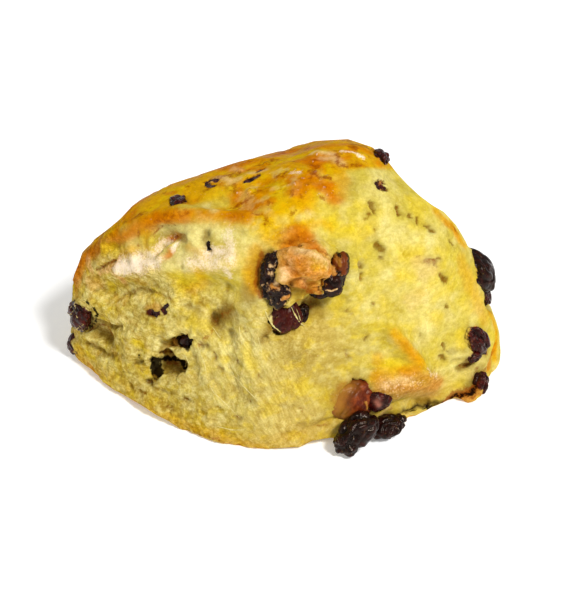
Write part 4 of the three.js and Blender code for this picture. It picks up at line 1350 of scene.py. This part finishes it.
FITS = {
    "raisin_back_a": Fit(kept=0.5),
    "raisin_back_b": Fit(kept=0.6),
    "raisin_back_c": Fit(kept=0.45),
    "raisin_back_d": Fit(kept=0.55),
    "raisin_brown": Fit(
        skin=BROWN_SKIN, smooth=True, grown=(1.85, 1.2, 1.12), shifted=(-0.7, -0.3, -0.9), kept=0.85
    ),
    "raisin_brown_small": Fit(skin=RED_SKIN, smooth=True, grown=1.08, shifted=(-0.3, 0.0, -0.2), kept=0.75),
    "raisin_crumb_a": Fit(skin=RED_SKIN),
    "raisin_crumb_b": Fit(skin=RED_SKIN),
    "raisin_crust_left": Fit(skin=RED_SKIN, shifted=(0.0, -0.2, 0.4), kept=0.65, specks=(GOLD, 0.30)),
    "raisin_crust_middle": Fit(skin=RED_SKIN, specks=(TAN, 0.34)),
    "raisin_crust_right": Fit(skin=RED_SKIN, specks=(TAN, 0.46)),
    "raisin_flank_bit": Fit(skin=RED_SKIN, specks=(TAN, 0.30)),
    "raisin_foot_front": Fit(grown=(0.98, 1.0, 0.88), shifted=(0.0, 0.4, -0.9)),
    "raisin_foot_right": Fit(skin=RED_SKIN, shifted=(0.2, 0.0, -1.6), specks=(ORANGE, 0.12)),
    "raisin_foot_side": Fit(grown=(0.98, 1.0, 0.78), shifted=(-0.6, -0.1, -1.0)),
    "raisin_in_hole": Fit(
        grown=0.88, shifted=(-0.9, -0.5, -0.9), kept=1.0, sunk=0.9, specks=(TORN, 0.10)
    ),
    "raisin_left_end": Fit(skin=RED_SKIN, shifted=(-0.9, 0.0, 0.0), kept=0.55, specks=(PALE, 0.10)),
    "raisin_left_low": Fit(skin=RED_SKIN, shifted=(1.9, -0.3, 0.0), specks=(CRUMB, 0.15)),
    "raisin_middle_left": Fit(
        grown=(0.95, 1.0, 0.90), shifted=(1.0, -0.3, 0.3), leant=-0.22, kept=0.65, specks=(CREAM_AND_SHEEN, 0.36)
    ),
    "raisin_middle_right": Fit(bent=(-3.4, 0.4, 0.2), specks=(TAN, 0.15)),
    "raisin_right_dot": Fit(skin=RED_SKIN, grown=0.85, shifted=(0.9, 0.2, 0.7), kept=0.5),
    "raisin_right_end": Fit(smooth=True, grown=(1.10, 1.06, 0.95), shifted=(-0.6, -0.8, 0.3), leant=0.16),
    "raisin_right_face": Fit(skin=RED_SKIN, kept=0.5, specks=(ORANGE, 0.12)),
    "raisin_right_low": Fit(skin=RED_SKIN, shifted=(0.0, 0.5, 1.7), kept=0.6),
    "raisin_top_right": Fit(skin=RED_SKIN, kept=0.7, specks=(ORANGE, 0.25)),
    "raisin_under": Fit(skin=RED_SKIN, smooth=True, shifted=(0.3, -0.2, 0.6), kept=0.65),
    "raisin_under_small": Fit(grown=0.92, shifted=(-0.9, -0.5, -0.9), kept=0.5),
}


def wrinkles(at, middle, seed):
    """Along the raisin's own axes: its main creases from 0 to 1, all its furrows, and their depth."""
    axes = np.linalg.svd(at - middle, full_matrices=False)[2]
    local = (at - middle) @ axes.T
    girth = np.ptp(local, axis=0)[1]
    swirled = stirred(local, 0.7 * girth, 0.35 * girth, seed + 20)
    pitch = min(0.60 * girth, 2.6)
    creases = ridges(swirled * np.array([0.45, 1.0, 1.0]), pitch, seed) ** 1.7
    lesser = ridges(swirled * np.array([0.7, 1.0, 1.0]), 0.45 * pitch, seed + 40) ** 1.5
    dents = perlin(local, 0.9 * girth, seed + 60)
    return creases, creases + 0.40 * lesser - 0.45 * dents, min(0.16 * girth, 0.75)


def dough_round(at, middle):
    """The way out of the dough round a raisin, and how far out the dough reaches there."""
    reach = 0.5 * np.ptp(at, axis=0).max() + RING_WIDTH
    ring = (np.linalg.norm(points - middle, axis=1) < reach) & (raisin_gap < RING_WIDTH) & (facing_out > 0.5)
    way = outward[ring].mean(0)
    way /= np.linalg.norm(way)
    return way, np.percentile(points[ring] @ way, RING_PERCENTILE)


def fitted(at, middle, fit):
    """The places of a raisin, changed as its fit says."""
    at = middle + (at - middle) * np.array(fit.grown) + np.array(fit.shifted)
    at[:, 0] -= fit.leant * (at[:, 2] - middle[2])
    if fit.bent:
        toward = np.array(fit.bent)
        along = (at - middle) @ toward / np.linalg.norm(toward) - 0.6 * (at - middle)[:, 2]
        at += toward * smoothstep(along, 0.5, 4.0)[:, None]
    if fit.kept:
        way, level = dough_round(at, middle)
        rise = at @ way - level
        at -= way * (np.maximum(rise, 0) * (1 - fit.kept) + fit.sunk)[:, None]
    return at


def keep_under(at, creases):
    """Pushes a covered raisin's places below the dough, by a little more in its creases."""
    for i, p in enumerate((at * MM).tolist()):
        surface, away = dough_tree.find_nearest(p)[:2]
        below = COVER + COVER_OF_CREASES * creases[i]
        if (Vector(p) - surface).dot(away) > -below * MM:
            at[i] = np.array(surface - away * below * MM) / MM


def shaped_raisin(node, seed):
    """The CAD raisin, rounded, swollen to touch the dough, and wrinkled from end to end."""
    steps = 3
    weld = ("WELD", {"merge_threshold": WELD_REACH * MM})
    mesh = made_by_modifiers(node + "_skin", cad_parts[node].data, weld, ("SUBSURF", {"levels": steps}))
    fit = FITS.get(node, Fit())
    at = places(mesh)
    middle = at.mean(0)
    creases, furrows, depth = wrinkles(at, middle, seed)
    depth *= 0.5 if fit.smooth else 1.0
    at = fitted(at, middle, fit)
    set_places(mesh, at)
    at += normals(mesh) * (SWELL + 0.45 * depth - depth * furrows)[:, None]
    at[:, 2] = np.maximum(at[:, 2], FLOOR_GAP)
    if node in COVERED:
        keep_under(at, creases)
    set_places(mesh, at)
    # How far each place lies in a crease, for the painted shade in the folds.
    store(mesh, fold=smoothstep(creases, 0.45, 0.95) * (0.25 if fit.smooth else 0.8))
    return finished(mesh, fit.skin)


# ---- Raisins: colour -------------------------------------------------------------------------

# Smears of dough over the raisins: a line over the picture, its width and its paint.
SMEARS = [
    ("cream on the left raisin", [(291, 270), (286, 274), (283, 278)], 1.1, CREAM_AND_SHEEN),
    ("tan on the left raisin", [(292, 281), (283, 284), (274, 286)], 0.8, TAN),
    ("brown along its left side", [(263, 258), (260, 268), (259, 284), (262, 296)], 0.6, RUST),
    ("gold at its left edge", [(259, 258), (256, 270), (255, 286)], 0.45, ORANGE),
    ("cream over its middle", [(272, 274), (278, 278), (276, 284)], 0.5, CREAM_AND_SHEEN),
    ("tan at its right edge", [(282, 258), (286, 262)], 0.4, TAN),
    ("cream at its top", [(264, 250), (269, 248), (275, 250)], 0.8, CREAM_AND_SHEEN),
    ("cream in its middle", [(270, 266), (277, 269)], 0.36, CREAM_AND_SHEEN),
    ("brown roll of the right raisin", [(329, 256), (335, 262), (341, 268)], 0.9, RUST),
    ("amber on the roll", [(334, 255), (338, 259), (341, 264)], 0.5, AMBER),
    ("tan by the roll", [(328, 260), (331, 266)], 0.5, TAN),
    ("its brown rim", [(343, 252), (345, 262), (344, 272)], 0.6, RUST),
    ("its left edge", [(328, 262), (333, 268), (334, 274)], 0.5, TAN),
    ("flecks at its foot", [(326, 290), (331, 291), (337, 289)], 0.18, CREAM_AND_SHEEN),
    ("gold over the under raisin", [(283, 299), (289, 296)], 0.4, TAN),
    ("dough beside it", [(268, 312), (271, 322)], 0.5, PALE),
    ("cream between the brown ones", [(366, 402), (367, 409)], 0.28, TAN),
    ("dough on the edge raisin", [(470, 322), (464, 334), (468, 350)], 0.7, CRUMB),
]

# Where light comes through a raisin's skin: a line over the picture, its width and the paint.
LIT = {
    "raisin_brown": ([(350, 382), (342, 390), (338, 400), (340, 414)], 1.7, AMBER),
    "raisin_brown_small": ([(377, 402), (379, 405)], 0.55, ROSE),
    "raisin_under": ([(282, 312), (290, 318), (294, 326)], 2.0, WINE),
}

FILM_THICKNESS = 0.14
BRIM_WIDTH = 0.30

first_corner = np.array([p.vertices[0] for p in dough_mesh.polygons])


def colour_of_the_dough(at):
    """The dough's paint where it is nearest to each point."""
    nearest = [dough_tree.find_nearest(p)[2] for p in (at * MM).tolist()]
    return colour[first_corner[nearest]]


def film_over(node, at, uneven, seed, tree):
    """The dough that sticks to a raisin: how much of it there is, and its paint."""
    dough_paint = colour_of_the_dough(at)
    paint, share = FITS.get(node, Fit()).specks
    if share:
        film = np.clip(0.6 * uneven + share - 0.40, 0, 1)
        film_paint = np.tile(linear(paint), (len(at), 1))
    else:
        film = np.zeros(len(at))
        film_paint = dough_paint.copy()
    if node == "raisin_left_end":
        torn_lines = cracks(stirred(at, 0.8, 0.5, seed), 1.2, seed, 0.14)
        film = np.maximum(film, 0.7 * torn_lines * (perlin(at, 1.5, 57) > 0))
    for _, pixels, width, smear_paint in SMEARS:
        smear = near(at, pixels, width, tree)
        film_paint += (linear(smear_paint) - film_paint) * smoothstep(smear, 0.2, 0.5)[:, None]
        film = np.maximum(film, 0.85 * smear)
    if node not in COVERED:
        brim = smoothstep(BRIM_WIDTH - distance_to(dough_tree, at, 3.0) + 0.4 * uneven, 0.05, 0.70)
        film_paint += (dough_paint - film_paint) * brim[:, None]
        film = np.maximum(film, brim)
    return film, film_paint


def paint_raisin(node, mesh, seed, tree):
    """Lays the films of dough over a raisin, and keeps where they are and where light shows."""
    at = places(mesh)
    uneven = perlin(at, 1.4, seed + 80) + 0.8 * perlin(at, 0.55, seed + 90)
    film, film_paint = film_over(node, at, uneven, seed, tree)
    at += normals(mesh) * (FILM_THICKNESS * smoothstep(film, 0.3, 0.9))[:, None]
    at[:, 2] = np.maximum(at[:, 2], FLOOR_GAP)
    set_places(mesh, at)
    lit, lit_paint = np.zeros(len(at)), AMBER
    if node in LIT:
        pixels, width, lit_paint = LIT[node]
        lit = 0.85 * near(at, pixels, width, tree)
    film_paint = film_paint * (1 + 0.22 * perlin(at, 0.9, seed + 95)[:, None])
    store(mesh, film=film, lit=lit, lit_paint=np.tile(linear(lit_paint), (len(at), 1)))
    store(mesh, film_paint=np.clip(film_paint, 0, 1))


raisin_meshes = [shaped_raisin(node, seed) for seed, node in enumerate(RAISINS)]
whole_tree = tree_of(dough_mesh, *raisin_meshes)
for seed, (node, mesh) in enumerate(zip(RAISINS, raisin_meshes)):
    paint_raisin(node, mesh, seed, whole_tree)
    piece(node + "_skin", mesh, "raisin", node)

# ---- Strands ---------------------------------------------------------------------------------

# Threads of dough drawn out over hollows and raisins: points of the picture and half-width.
STRANDS = [
    ("beside the under raisin", [(264, 308), (268, 318), (273, 326), (282, 333)], 0.19),
    ("over the under raisin", [(291, 306), (295, 315), (300, 323), (306, 327)], 0.14),
    ("second over the under raisin", [(296, 308), (299, 316), (301, 322)], 0.09),
    ("at the cave's right", [(184, 353), (187, 360), (185, 368)], 0.16),
    ("at the cave's mouth", [(180, 354), (186, 357), (190, 366)], 0.12),
    ("right of the hole", [(197, 343), (199, 352), (204, 362), (207, 376)], 0.11),
    ("long down the fibres", [(228, 366), (236, 378), (248, 391), (258, 401), (264, 404)], 0.11),
    ("second down the fibres", [(239, 322), (240, 336), (243, 350)], 0.10),
    ("left down the fibres", [(206, 378), (213, 392), (226, 404), (240, 418)], 0.10),
    ("across the long pocket", [(258, 336), (260, 346), (262, 354)], 0.10),
    ("crater", [(178, 240), (181, 246), (178, 252)], 0.12),
    ("slanting at the foot", [(216, 426), (232, 430), (246, 430)], 0.10),
    ("crumb at the ledge", [(222, 340), (216, 332), (212, 326)], 0.10),
]
STRAND_SIDES = 6
STRAND_STEP = 2.0  # pixels
STRAND_GLAZE = 0.6

painted_tree = tree_of(dough_mesh, *raisin_meshes)


def ring_round(path, i, half_width, number):
    """The corners round one place of a thread, which tapers to its ends and is lumpy."""
    share = i / (len(path) - 1)
    ahead = path[min(i + 1, len(path) - 1)] - path[max(i - 1, 0)]
    ahead /= np.linalg.norm(ahead)
    away = painted_tree.find_nearest(Vector(path[i] * MM))[1]
    up = np.array(away) - ahead * np.dot(away, ahead)
    up /= np.linalg.norm(up)
    across = np.cross(ahead, up)
    width = half_width * (0.25 + 0.75 * math.sin(math.pi * share)) * (1 + 0.3 * math.sin(5 * i + number))
    middle = path[i] - 0.1 * width * up
    turns = [2 * math.pi * k / STRAND_SIDES for k in range(STRAND_SIDES)]
    return [middle + width * (across * math.cos(turn) + up * math.sin(turn)) for turn in turns]


def strand_mesh():
    """All the threads as one mesh of thin tubes."""
    sides = STRAND_SIDES
    corners, faces = [], []
    for number, (_, pixels, half_width) in enumerate(STRANDS):
        path = line_seen(painted_tree, pixels, STRAND_STEP)
        path = np.array([path[max(0, i - 1):i + 2].mean(0) for i in range(len(path))])
        first = len(corners)
        for i in range(len(path)):
            corners += ring_round(path, i, half_width, number)
        last = len(corners) - sides
        for base in range(first, last, sides):
            for k in range(sides):
                after = (k + 1) % sides
                faces.append((base + k, base + after, base + sides + after, base + sides + k))
        faces.append(tuple(range(last, last + sides)))
        faces.append(tuple(reversed(range(first, first + sides))))
    mesh = bpy.data.meshes.new("scone_strands")
    mesh.from_pydata([tuple(c * MM) for c in corners], [], faces)
    mesh.update()
    store(
        mesh,
        paint=np.tile(linear(STRAND), (len(corners), 1)),
        glaze=np.full(len(corners), STRAND_GLAZE),
        crumb=np.zeros(len(corners)),
        marks=np.zeros((len(corners), len(MARKS))),
        weave=np.array(corners),
        drawn=np.array(corners),
        stretch=np.zeros(len(corners)),
    )
    return finished(mesh, DOUGH)


piece("scone_strands", strand_mesh(), "dough")
